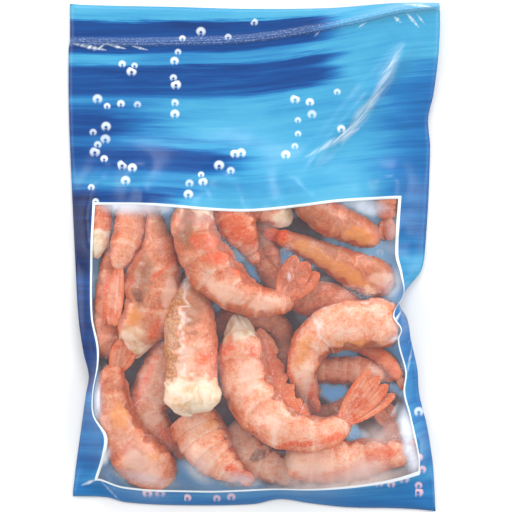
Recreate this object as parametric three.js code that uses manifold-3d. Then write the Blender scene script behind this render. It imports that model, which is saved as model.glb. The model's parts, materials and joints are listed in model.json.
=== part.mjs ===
// A sealed flat pouch of frozen raw argentine red shrimp, lying on its back.
//
// The pouch is printed film with a clear window in its front. The printed part is one closed
// solid that is domed over the shrimp, with a pocket under the window, which a clear film
// closes. Each shrimp tail that the window shows is a solid of its own, laid into the pocket
// on those below it. Under the print, where nothing can be seen, the pouch is solid.
//
// Millimetres. +X is the pouch's right, +Y its top with the zip, +Z out of its front. The
// origin is the middle of the pouch on the surface that it lies on.

import * as THREE from "three";
import { mergeVertices } from "three/addons/utils/BufferGeometryUtils.js";
import Module from "manifold-3d";

const wasm = await Module();
wasm.setup();

// ---------------------------------------------------------------- driving dimensions

const FILM = 1.2; // thickness of the flat, empty pouch where its two films meet
const GAP = 0.35; // clearance between neighbouring solids
const WINDOW_FILM = 0.8; // thickness of the clear film, with the frost that clings to it
const CURL = 12; // how far in from the edge the underside starts to leave the table
const ZIP_RISE = 1.3; // how far the closed zip stands proud of the film
const ZIP_WIDTH = 4;
const ZIP_FROM_END = 0.6; // least width of the strip above the zip
const CLEAR_HEIGHT = 90; // above everything

// The outline, as [y, x] along the two sides and [x, y] along the ends.
const LEFT_SIDE = [
  [-121, -90.5], [-106, -89], [-88, -86.5], [-70, -84], [-60, -82.5], [-49, -85], [-32, -87.5],
  [-8, -89], [34, -91], [74, -92.5], [107, -92.6], [110, -92], [127, -92],
];
const RIGHT_SIDE = [
  [-127, 91], [-112, 89.5], [-92, 86.5], [-75, 82.5], [-62, 81.5], [-48, 78.5], [-36, 76.5],
  [-28, 72.5], [-20, 77], [-11, 83.5], [0, 85.5], [48, 88], [61, 87], [72, 89.7], [92, 92.3],
  [112, 92.3], [127, 88.5],
];
const BOTTOM_END = [
  [-92, -119.5], [-75, -120], [-66, -122.5], [-40, -124], [-5, -123.5], [8, -121],
  [22, -123], [40, -125], [66, -125.6], [92, -127.4],
];
const TOP_END = [
  [-93, 127], [-84, 126], [-40, 125], [0, 124], [40, 124.5], [70, 126.8], [90, 127.2],
];

// The window's four borders, in the same way.
const WINDOW_LEFT = [
  [-112, -78], [-100, -74], [-90, -73], [-80, -79.5], [-68, -80], [-54, -77.5], [-45, -77.5],
  [-30, -80.5], [0, -80.5], [28, -79],
];
const WINDOW_RIGHT = [
  [-106, 82], [-84, 77.5], [-72, 74.5], [-62, 75.5], [-46, 71.5], [-40, 73], [-33, 69],
  [-22, 74.5], [-12, 73], [-2, 70.5], [28, 72],
];
const WINDOW_BOTTOM = [
  [-78, -110.5], [-66, -114.5], [-30, -116.5], [0, -115.5], [30, -115], [60, -111], [82, -104],
];
const WINDOW_TOP = [[-80, 26], [-50, 25.5], [-20, 23], [0, 22.5], [25, 25], [45, 27.5], [72, 29]];

// The zip runs level from the left and climbs into the top right corner, which curls up.
const ZIP_LINE = [
  [-93, 107.5], [-50, 107.5], [-5, 109], [25, 113], [50, 117.5], [75, 123], [90, 125.5],
];
const CORNER_LIFT = 12; // height of the zip's right end over the table
const CORNER_FROM = 10; // x where the curl begins
const CORNER_TO = 90; // x where it is at its height
const CORNER_ZONES = 1.5; // how many zones of the sheet it takes up on either side of the zip

// The seams lift off the table beside the contents, and lie flat elsewhere.
const SEAM_FLAT = 1.4;
const SEAM_LIFT = 6;
const SEAM_MIDDLE = -45;
const SEAM_REACH = 60;

// Folds that stand in the film: from, to, height and half width.
const FOLDS = [
  { from: [22, 40], to: [80, 108], height: 5, width: 7 },
  { from: [-74, -106], to: [-66, -122], height: 4, width: 3.5 },
  { from: [-74, -108], to: [-88, -116], height: 3, width: 3 },
  { from: [-82, -58], to: [-72, -92], height: 4, width: 4 },
  { from: [74, -26], to: [68, -44], height: 4, width: 4 },
  { from: [80, -44], to: [78, -68], height: 2.5, width: 3 },
];

// ---------------------------------------------------------------- the shrimp tails

// In the order in which they are laid. Each lies on its side. Its line is the middle of its
// body from the neck, where its head was cut off, to the root of its fan, as [x, y, half
// depth]. belly is 1 where the belly lies to the left of that way and -1 to the right. fan is
// [blades, spread in degrees, length, bend towards the belly in degrees]. Plain ones lie deep.
// The loose one is a strip of shed belly shell.
const SHRIMP = [
  {
    line: [[-74, -48, 8], [-73, -34, 8], [-72, -20, 7.5], [-71, -6, 6.5], [-70, 3, 5]],
    belly: 1, fan: [1, 0, 8, 0], plain: true,
  },
  {
    line: [[4, 20, 6.5], [6, 10, 7], [8, 0, 6], [9.5, -9, 4.5]],
    belly: 1, fan: [1, 0, 8, 0], plain: true,
  },
  {
    line: [[50, -25, 7], [40, -21.5, 8.5], [29, -20.5, 9.5], [18, -16.5, 8], [9.5, -10, 6], [4, -3, 4.2]],
    belly: -1, fan: [2, 26, 12, -6], plain: true,
  },
  {
    line: [[29, -56, 7.2], [40, -56.5, 7.3], [52, -57, 7], [64, -58, 5.5]],
    belly: -1, fan: [1, 0, 8, 0], plain: true,
  },
  {
    line: [[20, -80, 5], [32, -79, 5], [44, -75, 4.5], [52, -69, 3.5]],
    belly: 1, fan: [1, 0, 8, 0], plain: true,
  },
  {
    line: [
      [-20, -36, 8], [-8, -31, 7.5], [4, -31, 7],
      [12.5, -36, 6.5], [14.5, -48, 5], [15.5, -62, 4.5],
    ],
    belly: -1, fan: [1, 0, 8, 0], plain: true,
  },
  {
    line: [[-9, -84, 7.5], [-5, -94, 9.5], [4, -102, 9.5], [16, -106, 8], [27, -107.5, 5.5]],
    belly: 1, fan: [1, 0, 8, 0], plain: true,
  },
  {
    line: [[74, -99, 6], [71, -91, 6], [68, -84, 5]],
    belly: -1, fan: [2, 40, 11, 0], plain: true,
  },
  {
    line: [[18.5, 20.5, 5.5], [12, 22, 7.5], [2, 25, 8], [-10, 28, 7]],
    belly: 1, fan: [1, 0, 8, 0], plain: true,
  },
  {
    line: [[66.5, 40, 7], [66.5, 30, 6.5], [66.5, 20, 5]],
    belly: 1, fan: [2, 16, 12, 0], plain: true,
  },
  {
    line: [[-78.5, 1, 4.5], [-78, 9, 6.5], [-78, 18, 7], [-77, 28, 6.5], [-75, 38, 5]],
    belly: 1, fan: [1, 0, 8, 0], plain: true,
  },
  {
    line: [
      [-42, -44, 8], [-45.5, -56, 8.5], [-50.5, -68, 9.5],
      [-53, -78, 9.5], [-47, -87, 7.5], [-39, -94.5, 5],
    ],
    belly: 1, fan: [2, 14, 8, 0], plain: true,
  },
  {
    line: [[-31, -80, 11], [-27, -88, 11.5], [-21, -97, 10.5], [-13.5, -103.5, 7.5], [-7, -108, 4.5]],
    belly: 1, fan: [2, 14, 8, 0],
  },
  {
    line: [
      [-44, -110, 9], [-52, -104, 11], [-60, -96, 11], [-66, -86, 9.5],
      [-69.5, -75, 7.8], [-70.5, -64, 7.3], [-69.5, -56, 6],
    ],
    belly: -1, fan: [3, 24, 16, 15], legs: true,
  },
  {
    line: [[-57, 46, 8], [-59, 30, 8.6], [-60.5, 16, 8.8], [-64, 4, 7.8], [-67.5, -4, 5]],
    belly: 1, fan: [3, 9, 31, 16],
  },
  {
    line: [
      [-60, -47, 7.5], [-57.5, -38, 11], [-53, -28, 12.5], [-50.5, -16, 13],
      [-49, -6, 11.5], [-47.5, 3, 8.8], [-48.5, 12, 5.7], [-50, 21, 3.6],
    ],
    belly: 1, fan: [2, 20, 14, 0], legs: true,
  },
  {
    line: [[-16, 40, 8], [-12, 27, 9.5], [-8, 16, 9.5], [-3.5, 7, 6.5], [-1, 2, 4]],
    belly: 1, fan: [1, 0, 6, 0],
  },
  {
    line: [[60.5, 9.5, 6.3], [54, 12, 7.8], [46, 15.5, 8.7], [36, 20, 9], [27, 26, 7.5], [20, 33, 5]],
    belly: 1, fan: [1, 0, 8, 0],
  },
  {
    line: [[46, -43.5, 3], [54, -45, 3.5], [62, -49, 4], [68, -54, 4], [72, -60, 3]],
    belly: -1, fan: [1, 0, 8, 0], plain: true, loose: true,
  },
  {
    line: [
      [18, -100, 9], [30, -101, 10.5], [44, -101, 10.5],
      [57, -99.5, 9.5], [68, -98, 8], [75, -96.5, 6.5],
    ],
    belly: 1, fan: [2, 20, 8, 0],
  },
  {
    line: [
      [-30.5, -79, 14], [-31, -70, 14.2], [-31.5, -60, 13], [-32, -50, 12],
      [-32.5, -38, 11], [-32, -27, 9], [-31.5, -16, 6], [-31, -8, 4],
    ],
    belly: 1, fan: [1, 0, 12, 0],
  },
  {
    line: [
      [-8, -33, 9.5], [-6, -43, 12], [-5, -54, 13.2], [-2.5, -65, 13.2], [4, -76, 12.6],
      [14, -84, 11], [25, -87.5, 9.6], [36, -87, 8], [45, -82, 6],
    ],
    belly: 1, fan: [4, 32, 29, 12], legs: true,
  },
  {
    line: [
      [72, -35, 10.5], [63, -33.5, 12], [52, -33.5, 12], [41, -35, 11],
      [31.5, -40, 9], [25.5, -50, 6.8], [25, -61, 5.8], [27.5, -70, 5],
    ],
    belly: 1, fan: [2, 16, 9, 0], legs: true,
  },
  {
    line: [
      [67, -13.5, 8], [60, -10.5, 10.3], [51, -7, 9.6], [41, -2.5, 7.8],
      [30, 3, 6.3], [20, 7.5, 5], [13, 10, 4.2],
    ],
    belly: 1, fan: [1, 0, 9, 0], legs: true,
  },
  {
    line: [
      [-28, 28, 8.5], [-29.5, 17, 11], [-27.5, 6, 11.7], [-21.5, -5, 11.9],
      [-12.5, -15, 10.8], [-2.5, -20.7, 8.8], [7.5, -22.3, 7.2], [16.5, -22.3, 5.5],
    ],
    belly: 1, fan: [3, 14, 21, 58], legs: true,
  },
];
const FLATNESS = 0.66; // a tail's width from flank to flank, as a share of its depth
const PLATES = 6;
const STEP = 0.05; // how far each shell plate's rear edge stands out, as a share of the depth
const STIFFNESS = 24; // smoothing passes that keep a laid tail from following every bump
const SPINE_STEPS = 32;

// Blades and legs, in shares of the half depth where they grow unless millimetres are named.
const LEAF_MIDDLE = 0.44; // where a leaf's middle lies along its length, past its root
const BLADE_WIDTH = 0.8;
const BLADE_THICKNESS = 0.36;
const BLADE_STAGGER = 0.5; // how far a fan's blades lie over each other
const LEGS = 5;
const FIRST_LEG = 0.12; // share of the length
const LEG_SPACING = 0.16; // share of the length
const LEG_ROOT = 0.72;
const LEG_SPLAY = 0.7; // sideways for each millimetre that it runs back
const LEG_LENGTH = 1.15;
const LEG_WIDTH = 0.42;
const LEG_THICKNESS = 1.4; // millimetres, half

// ---------------------------------------------------------------- small helpers

const clamp01 = (t) => Math.min(1, Math.max(0, t));
const mix = (a, b, t) => a + (b - a) * t;
const smooth = (t) => clamp01(t) ** 2 * (3 - 2 * clamp01(t));
const radians = THREE.MathUtils.degToRad;

// A curve through stations [t, value], rounded between them.
function through(stations) {
  const slope = stations.map(([t, v], i) => {
    const [t0, v0] = stations[Math.max(0, i - 1)];
    const [t1, v1] = stations[Math.min(stations.length - 1, i + 1)];
    return (v1 - v0) / (t1 - t0);
  });
  return (t) => {
    const i = stations.findIndex(([end], k) => k > 0 && t <= end);
    const k = i < 0 ? stations.length - 1 : i;
    const [t0, v0] = stations[k - 1];
    const [t1, v1] = stations[k];
    const w = t1 - t0;
    const f = clamp01((t - t0) / w);
    const hermite = (1 + 2 * f) * (1 - f) ** 2 * v0 + f * f * (3 - 2 * f) * v1;
    return hermite + w * f * (1 - f) * ((1 - f) * slope[k - 1] - f * slope[k]);
  };
}

// A closed geometry as a solid for joining and cutting, and back.
function solidOf(geometry) {
  const bare = geometry.clone();
  bare.deleteAttribute("normal");
  bare.deleteAttribute("uv");
  const merged = mergeVertices(bare, 1e-4);
  return new wasm.Manifold(
    new wasm.Mesh({
      numProp: 3,
      vertProperties: merged.attributes.position.array,
      triVerts: new Uint32Array(merged.index.array),
    }),
  );
}

function geometryOf(solid) {
  const mesh = solid.getMesh();
  const geometry = new THREE.BufferGeometry();
  geometry.setAttribute("position", new THREE.BufferAttribute(mesh.vertProperties, 3));
  geometry.setIndex(new THREE.BufferAttribute(mesh.triVerts, 1));
  geometry.computeVertexNormals();
  return geometry;
}

const largest = (solid) => solid.decompose().sort((a, b) => b.volume() - a.volume())[0];

function mapVertices(geometry, place) {
  const position = geometry.attributes.position;
  for (let i = 0; i < position.count; i++) {
    const p = place(position.getX(i), position.getY(i), position.getZ(i));
    position.setXYZ(i, p.x, p.y, p.z);
  }
  return geometry;
}

// ---------------------------------------------------------------- the sheet of film

const leftSide = through(LEFT_SIDE);
const rightSide = through(RIGHT_SIDE);
const bottomEnd = through(BOTTOM_END);
const topEnd = through(TOP_END);
const windowLeft = through(WINDOW_LEFT);
const windowRight = through(WINDOW_RIGHT);
const windowBottom = through(WINDOW_BOTTOM);
const windowTop = through(WINDOW_TOP);
const zipLine = through(ZIP_LINE);

// The sheet's lines across and along it follow the outline, the window and the zip. A line
// number's whole part is its zone, with this many cells in each zone.
const ACROSS = [2, 15, 2];
const ALONG = [2, 15, 7, 2, 2];
const ZIP_ZONE = 3.5;
const NOMINAL_X = [-90, -79, 74, 87];
const NOMINAL_Y = [-124, -112, 26, 108, 112, 126];

function between(stops, zone) {
  const k = Math.min(stops.length - 2, Math.floor(zone));
  return mix(stops[k], stops[k + 1], zone - k);
}

// The point of the flat sheet at zone a across and b along.
function onSheet(a, b) {
  const x = between(NOMINAL_X, a);
  const y = between(NOMINAL_Y, b);
  const [end, zip] = [topEnd(x), zipLine(x)];
  const zipBottom = zip - ZIP_WIDTH / 2;
  const zipTop = Math.min(zip + ZIP_WIDTH / 2, end - ZIP_FROM_END);
  return {
    x: between([leftSide(y), windowLeft(y), windowRight(y), rightSide(y)], a),
    y: between([bottomEnd(x), windowBottom(x), windowTop(x), zipBottom, zipTop, end], b),
  };
}

const lines = (cells) => cells.reduce((sum, n) => sum + n, 0);

// From a share of the sheet's whole number of lines to a zone, and back.
const zoneOf = (share, cells) => {
  let line = share * lines(cells);
  for (let k = 0; k < cells.length; k++) {
    if (line <= cells[k] + 1e-9) return k + line / cells[k];
    line -= cells[k];
  }
  return cells.length;
};

const shareOf = (zone, cells) => {
  const k = Math.min(cells.length - 1, Math.floor(zone));
  return (lines(cells.slice(0, k)) + (zone - k) * cells[k]) / lines(cells);
};

const seamHeight = (y) => mix(SEAM_FLAT, SEAM_LIFT, smooth(1 - Math.abs(y - SEAM_MIDDLE) / SEAM_REACH));

// ---------------------------------------------------------------- laying the tails

const POCKET_FLOOR = FILM;
const MARGIN = 1.6; // the film keeps this far above the tails
const PILE = { x: -96, y: -130, cell: 1.5, columns: 128, rows: 134 };
const pileHeight = new Float64Array(PILE.columns * PILE.rows).fill(POCKET_FLOOR);

// Calls visit with each pile cell within reach of a point, and how far off it is.
function nearCells(x, y, reach, visit) {
  const column = (v) => Math.round((v - PILE.x) / PILE.cell);
  const row = (v) => Math.round((v - PILE.y) / PILE.cell);
  for (let j = Math.max(0, row(y - reach)); j <= Math.min(PILE.rows - 1, row(y + reach)); j++)
    for (let i = Math.max(0, column(x - reach)); i <= Math.min(PILE.columns - 1, column(x + reach)); i++) {
      const off = Math.hypot(PILE.x + i * PILE.cell - x, PILE.y + j * PILE.cell - y);
      if (off < reach) visit(j * PILE.columns + i, off);
    }
}

// A tail's spine in the plane of the table, then raised until it rests on what lies below.
function laySpine(shrimp) {
  const reach = [0];
  shrimp.line.slice(1).forEach(([x, y], i) => {
    reach.push(reach[i] + Math.hypot(x - shrimp.line[i][0], y - shrimp.line[i][1]));
  });
  shrimp.length = reach.at(-1);
  const along = (k) => through(shrimp.line.map((p, i) => [reach[i] / shrimp.length, p[k]]));
  const [xAt, yAt, halfAt] = [along(0), along(1), along(2)];
  shrimp.halfAt = halfAt;
  const steps = SPINE_STEPS;
  const spine = Array.from({ length: steps + 1 }, (_, i) => {
    const s = i / steps;
    return { x: xAt(s), y: yAt(s), half: halfAt(s), z: 0 };
  });
  for (const p of spine) {
    const rise = p.half * FLATNESS;
    p.rest = POCKET_FLOOR + GAP + rise;
    nearCells(p.x, p.y, p.half, (cell, off) => {
      const under = rise * Math.sqrt(1 - (off / p.half) ** 2);
      p.rest = Math.max(p.rest, pileHeight[cell] + GAP + under);
    });
    p.z = p.rest;
  }
  for (let pass = 0; pass < STIFFNESS; pass++)
    for (let i = 1; i < steps; i++)
      spine[i].z = Math.max(spine[i].rest, (spine[i - 1].z + spine[i + 1].z) / 2);
  for (const p of spine)
    nearCells(p.x, p.y, p.half, (cell, off) => {
      const top = p.z + p.half * FLATNESS * Math.sqrt(1 - (off / p.half) ** 2);
      pileHeight[cell] = Math.max(pileHeight[cell], top);
    });
  return spine;
}

// The spine at share s, carried on straight past either end.
function alongSpine(spine, shrimp, s) {
  const last = spine.length - 1;
  const f = clamp01(s) * last;
  const i = Math.min(last - 1, Math.floor(f));
  const a = new THREE.Vector3(spine[i].x, spine[i].y, spine[i].z);
  const b = new THREE.Vector3(spine[i + 1].x, spine[i + 1].y, spine[i + 1].z);
  const tangent = b.clone().sub(a).normalize();
  const point = a.lerp(b, f - i).addScaledVector(tangent, (s - clamp01(s)) * shrimp.length);
  const belly = new THREE.Vector3(-tangent.y, tangent.x, 0).normalize();
  belly.multiplyScalar(shrimp.belly);
  return { point, tangent, belly, up: new THREE.Vector3().crossVectors(tangent, belly) };
}

// ---------------------------------------------------------------- a shrimp tail's solid

// Rings along the body as [share of the length, share of the depth]: the torn neck, then
// two for each shell plate, which widens towards its rear edge.
function bodyRings(plain) {
  const rings = [[-0.05, 0.4], [-0.035, 0.72], [0.02, 0.82]];
  const plates = plain ? PLATES / 2 : PLATES;
  for (let k = 0; k < plates; k++) {
    rings.push([mix(0.05, 1, k / plates), 1 - STEP]);
    rings.push([mix(0.05, 1, (k + 0.9) / plates), 1 + STEP]);
  }
  rings.push([1.04, 0.62]);
  return rings;
}

function bodySolid(shrimp, spine, grow) {
  const rings = bodyRings(shrimp.plain);
  const sides = shrimp.plain ? 6 : 8;
  const tube = new THREE.CylinderGeometry(1, 1, 1, sides, rings.length - 1);
  return solidOf(
    mapVertices(tube, (x, y, z) => {
      const [s, share] = rings[Math.round((0.5 - y) * (rings.length - 1))];
      const frame = alongSpine(spine, shrimp, s);
      const half = shrimp.halfAt(s) * share + grow;
      const up = frame.up.multiplyScalar(z * half * FLATNESS);
      return frame.point.addScaledVector(frame.belly, x * half).add(up);
    }),
  );
}

// A flat leaf from a root point: a fan blade, or one of the legs folded under the belly.
function leafSolid(root, along, across, length, halfWidth, halfThickness, sides) {
  const leaf = new THREE.SphereGeometry(1, sides, 4);
  const normal = new THREE.Vector3().crossVectors(along, across).normalize();
  return solidOf(
    mapVertices(leaf, (x, y, z) =>
      root
        .clone()
        .addScaledVector(along, (y * 0.5 + LEAF_MIDDLE) * length)
        .addScaledVector(across, -x * halfWidth)
        .addScaledVector(normal, z * halfThickness),
    ),
  );
}

function fanSolids(shrimp, spine, grow) {
  const [blades, spread, length, bend] = shrimp.fan;
  const frame = alongSpine(spine, shrimp, 1);
  const half = shrimp.halfAt(1);
  const level = new THREE.Vector3(frame.tangent.x, frame.tangent.y, 0).normalize();
  return Array.from({ length: blades }, (_, k) => {
    const offset = blades > 1 ? k / (blades - 1) - 0.5 : 0;
    const angle = radians(offset * spread + shrimp.belly * bend);
    const along = level.clone().applyAxisAngle(new THREE.Vector3(0, 0, 1), angle);
    const across = new THREE.Vector3(-along.y, along.x, 0);
    const root = frame.point.clone();
    root.z += offset * half * BLADE_STAGGER * FLATNESS;
    const [width, thickness] = [half * BLADE_WIDTH + grow, half * BLADE_THICKNESS + grow];
    return leafSolid(root, along, across, length + grow, width, thickness, 6);
  });
}

function legSolids(shrimp, spine, grow) {
  return Array.from({ length: LEGS }, (_, k) => {
    const s = FIRST_LEG + LEG_SPACING * k;
    const frame = alongSpine(spine, shrimp, s);
    const half = shrimp.halfAt(s);
    const root = frame.point.clone().addScaledVector(frame.belly, half * LEG_ROOT);
    const along = frame.tangent.clone().addScaledVector(frame.belly, LEG_SPLAY).normalize();
    const [length, width] = [half * LEG_LENGTH + grow, half * LEG_WIDTH + grow];
    return leafSolid(root, along, frame.up, length, width, LEG_THICKNESS + grow, 4);
  });
}

// The whole tail. grow makes it a little larger all round, to cut its neighbours clear.
function shrimpSolid(shrimp, spine, grow = 0) {
  const parts = [bodySolid(shrimp, spine, grow), ...fanSolids(shrimp, spine, grow)];
  if (shrimp.legs) parts.push(...legSolids(shrimp, spine, grow));
  return parts.reduce((whole, piece) => whole.add(piece));
}

// ---------------------------------------------------------------- the film over them

// The film's height over the sheet's nodes: stretched from seam to seam over the pile,
// and sinking under its own weight where nothing holds it up.
const NODES = { across: 88, along: 120 };
const SAG = 0.055; // on one relaxing pass
const RELAX_PASSES = 500;
const DRAPE = 3; // the film bridges hollows up to twice this wide
const SLACK = 0.8; // how far it stands above the seam where nothing lies under it
const ZIP_FADE = 3; // how far in from the edge the zip reaches its full rise

function pileTopAt(x, y, reach) {
  let top = 0;
  nearCells(x, y, reach, (cell) => {
    top = Math.max(top, pileHeight[cell]);
  });
  return top;
}

function relaxFilm() {
  const { across, along } = NODES;
  const at = (i, j) => j * (across + 1) + i;
  const height = new Float64Array((across + 1) * (along + 1));
  const support = new Float64Array(height.length);
  for (let j = 0; j <= along; j++)
    for (let i = 0; i <= across; i++) {
      const { x, y } = onSheet(zoneOf(i / across, ACROSS), zoneOf(j / along, ALONG));
      const edge = i === 0 || j === 0 || i === across || j === along;
      const pile = pileTopAt(x, y, DRAPE);
      const held = pile > POCKET_FLOOR ? pile + MARGIN : SEAM_FLAT + SLACK;
      support[at(i, j)] = edge ? seamHeight(y) + FILM / 2 : held;
      height[at(i, j)] = support[at(i, j)];
    }
  for (let pass = 0; pass < RELAX_PASSES; pass++)
    for (let j = 1; j < along; j++)
      for (let i = 1; i < across; i++) {
        const beside = height[at(i - 1, j)] + height[at(i + 1, j)];
        const aboveBelow = height[at(i, j - 1)] + height[at(i, j + 1)];
        height[at(i, j)] = Math.max(support[at(i, j)], (beside + aboveBelow) / 4 - SAG);
      }
  return height;
}

function foldHeight(x, y) {
  let height = 0;
  for (const { from, to, height: rise, width } of FOLDS) {
    const [dx, dy] = [to[0] - from[0], to[1] - from[1]];
    const t = clamp01(((x - from[0]) * dx + (y - from[1]) * dy) / (dx * dx + dy * dy));
    const off = Math.hypot(x - from[0] - t * dx, y - from[1] - t * dy);
    height += rise * Math.max(0, 1 - off / width) * Math.sin(Math.PI * mix(0.1, 0.9, t));
  }
  return height;
}

SHRIMP.forEach((shrimp) => {
  shrimp.spine = laySpine(shrimp);
});
const filmHeight = relaxFilm();

function filmTop(shareAcross, shareAlong) {
  const { across, along } = NODES;
  const [f, g] = [shareAcross * across, shareAlong * along];
  const [i, j] = [Math.min(across - 1, Math.floor(f)), Math.min(along - 1, Math.floor(g))];
  const at = (a, b) => filmHeight[b * (across + 1) + a];
  return mix(mix(at(i, j), at(i + 1, j), f - i), mix(at(i, j + 1), at(i + 1, j + 1), f - i), g - j);
}

function edgeDistance(x, y) {
  return Math.min(x - leftSide(y), rightSide(y) - x, y - bottomEnd(x), topEnd(x) - y);
}

// ---------------------------------------------------------------- the pouch's solid

// How far the whole sheet is lifted where the zip's right end curls up.
function cornerLift(x, zone) {
  const along = smooth((x - CORNER_FROM) / (CORNER_TO - CORNER_FROM));
  return CORNER_LIFT * along * smooth(1 - Math.abs(zone - ZIP_ZONE) / CORNER_ZONES);
}

// The underside: flat on the table, rising to the seams and to the curled corner.
function backHeight(x, y, zone) {
  const inside = smooth(edgeDistance(x, y) / CURL);
  return (seamHeight(y) - FILM / 2) * (1 - inside) + cornerLift(x, zone);
}

// The point of the front film at zone a across and b along, with its folds and the zip.
function onFront(a, b) {
  const { x, y } = onSheet(a, b);
  const edge = edgeDistance(x, y);
  const fold = foldHeight(x, y) * smooth(edge / CURL);
  const film = filmTop(shareOf(a, ACROSS), shareOf(b, ALONG)) + fold + cornerLift(x, b);
  const zip = ZIP_RISE * Math.max(0, 1 - 2 * Math.abs(b - ZIP_ZONE)) * smooth(edge / ZIP_FADE);
  return { x, y, z: Math.max(film, backHeight(x, y, b) + FILM) + zip };
}

function pouchSolid() {
  const box = new THREE.BoxGeometry(1, 1, 1, lines(ACROSS), lines(ALONG), 1);
  return solidOf(
    mapVertices(box, (u, v, w) => {
      const [a, b] = [zoneOf(u + 0.5, ACROSS), zoneOf(v + 0.5, ALONG)];
      const { x, y } = onSheet(a, b);
      return w < 0 ? { x, y, z: backHeight(x, y, b) } : onFront(a, b);
    }),
  );
}

// What lies between a floor and a ceiling inside the window's border, less an inset.
function windowSolid(inset, floorAt, ceilingAt) {
  const box = new THREE.BoxGeometry(1, 1, 1, ACROSS[1], ALONG[1], 1);
  const shrink = (t, size) => 1.5 + t * (1 - (2 * inset) / size);
  return solidOf(
    mapVertices(box, (u, v, w) => {
      const [a, b] = [shrink(u, NOMINAL_X[2] - NOMINAL_X[1]), shrink(v, NOMINAL_Y[2] - NOMINAL_Y[1])];
      const { x, y } = onSheet(a, b);
      return { x, y, z: w < 0 ? floorAt(x, y, a, b) : ceilingAt(x, y, a, b) };
    }),
  );
}

const pocketFloor = (x, y) => backHeight(x, y, 1.5) + FILM;
const frontAt = (x, y, a, b) => onFront(a, b).z;
const top = () => CLEAR_HEIGHT;
const pocket = windowSolid(0, pocketFloor, top);
const clearFilm = windowSolid(GAP, (...at) => frontAt(...at) - WINDOW_FILM, frontAt);
const overFilm = windowSolid(GAP, (...at) => frontAt(...at) - WINDOW_FILM - GAP, top);
const room = windowSolid(GAP, (x, y) => pocketFloor(x, y) + GAP, top).subtract(overFilm);

const printedFilm = new THREE.MeshStandardMaterial({ color: 0x3f83c6, roughness: 0.3 });
const windowFilm = new THREE.MeshStandardMaterial({
  color: 0xe6eef2,
  roughness: 0.15,
  transparent: true,
  opacity: 0.25,
});
const shell = new THREE.MeshStandardMaterial({ color: 0xdd8468, roughness: 0.45 });

function meshOf(name, solid, material) {
  const mesh = new THREE.Mesh(geometryOf(solid), material);
  mesh.name = name;
  return mesh;
}

const pouch = new THREE.Group();
pouch.add(meshOf("printed_pouch", largest(pouchSolid().subtract(pocket)), printedFilm));
pouch.add(meshOf("window_film", clearFilm, windowFilm));

const laid = [];
let tails = 0;
for (const shrimp of SHRIMP) {
  let solid = shrimpSolid(shrimp, shrimp.spine).intersect(room);
  for (const below of laid) solid = solid.subtract(below);
  laid.push(shrimpSolid(shrimp, shrimp.spine, GAP));
  const name = shrimp.loose ? "loose_shell" : `shrimp_${String(++tails).padStart(2, "0")}`;
  pouch.add(meshOf(name, largest(solid), shell));
}

export default pouch;
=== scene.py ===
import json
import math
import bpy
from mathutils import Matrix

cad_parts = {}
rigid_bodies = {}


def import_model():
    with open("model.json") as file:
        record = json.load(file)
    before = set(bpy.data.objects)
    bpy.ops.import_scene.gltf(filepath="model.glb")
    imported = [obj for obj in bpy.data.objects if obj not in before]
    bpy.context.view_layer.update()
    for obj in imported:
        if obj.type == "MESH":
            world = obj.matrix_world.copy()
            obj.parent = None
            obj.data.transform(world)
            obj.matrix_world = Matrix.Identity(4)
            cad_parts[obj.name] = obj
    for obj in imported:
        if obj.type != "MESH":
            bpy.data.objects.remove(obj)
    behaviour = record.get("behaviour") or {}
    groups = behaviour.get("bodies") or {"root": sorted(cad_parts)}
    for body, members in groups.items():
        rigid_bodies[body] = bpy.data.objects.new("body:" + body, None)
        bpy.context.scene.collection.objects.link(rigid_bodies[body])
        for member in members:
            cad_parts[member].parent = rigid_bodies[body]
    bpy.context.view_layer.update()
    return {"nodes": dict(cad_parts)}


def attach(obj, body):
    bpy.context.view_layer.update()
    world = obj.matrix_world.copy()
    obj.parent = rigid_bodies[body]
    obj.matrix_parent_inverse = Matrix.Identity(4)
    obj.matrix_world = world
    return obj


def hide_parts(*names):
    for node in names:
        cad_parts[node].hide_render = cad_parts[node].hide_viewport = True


bl_info = {
    "name": "Frozen Shrimp Pouch",
    "version": (1, 0, 0),
    "blender": (4, 5, 0),
    "location": "3D View > Sidebar > Pouch",
    "description": "A sealed printed pouch with frozen raw shrimp tails behind its clear window",
    "category": "Object",
}

import bpy
import numpy as np
from mathutils import Vector
from mathutils.bvhtree import BVHTree

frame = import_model()
MM = 0.001

# ---------------------------------------------------------------- the flat sheet, in millimetres
# The outline as (y, x) along the two sides and (x, y) along the ends, then the window's four
# borders and the zip in the same way. +X is the pouch's right, +Y its top and +Z its front.

LEFT_SIDE = [
    (-121, -90.5), (-106, -89), (-88, -86.5), (-70, -84), (-60, -82.5), (-49, -85), (-32, -87.5),
    (-8, -89), (34, -91), (74, -92.5), (107, -92.6), (110, -92), (127, -92),
]
RIGHT_SIDE = [
    (-127, 91), (-112, 89.5), (-92, 86.5), (-75, 82.5), (-62, 81.5), (-48, 78.5), (-36, 76.5),
    (-28, 72.5), (-20, 77), (-11, 83.5), (0, 85.5), (48, 88), (61, 87), (72, 89.7), (92, 92.3),
    (112, 92.3), (127, 88.5),
]
BOTTOM_END = [
    (-92, -119.5), (-75, -120), (-66, -122.5), (-40, -124), (-5, -123.5), (8, -121), (22, -123),
    (40, -125), (66, -125.6), (92, -127.4),
]
TOP_END = [(-93, 127), (-84, 126), (-40, 125), (0, 124), (40, 124.5), (70, 126.8), (90, 127.2)]
WINDOW_LEFT = [
    (-112, -78), (-100, -74), (-90, -73), (-80, -79.5), (-68, -80), (-54, -77.5), (-45, -77.5),
    (-30, -80.5), (0, -80.5), (28, -79),
]
WINDOW_RIGHT = [
    (-106, 82), (-84, 77.5), (-72, 74.5), (-62, 75.5), (-46, 71.5), (-40, 73), (-33, 69),
    (-22, 74.5), (-12, 73), (-2, 70.5), (28, 72),
]
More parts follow.
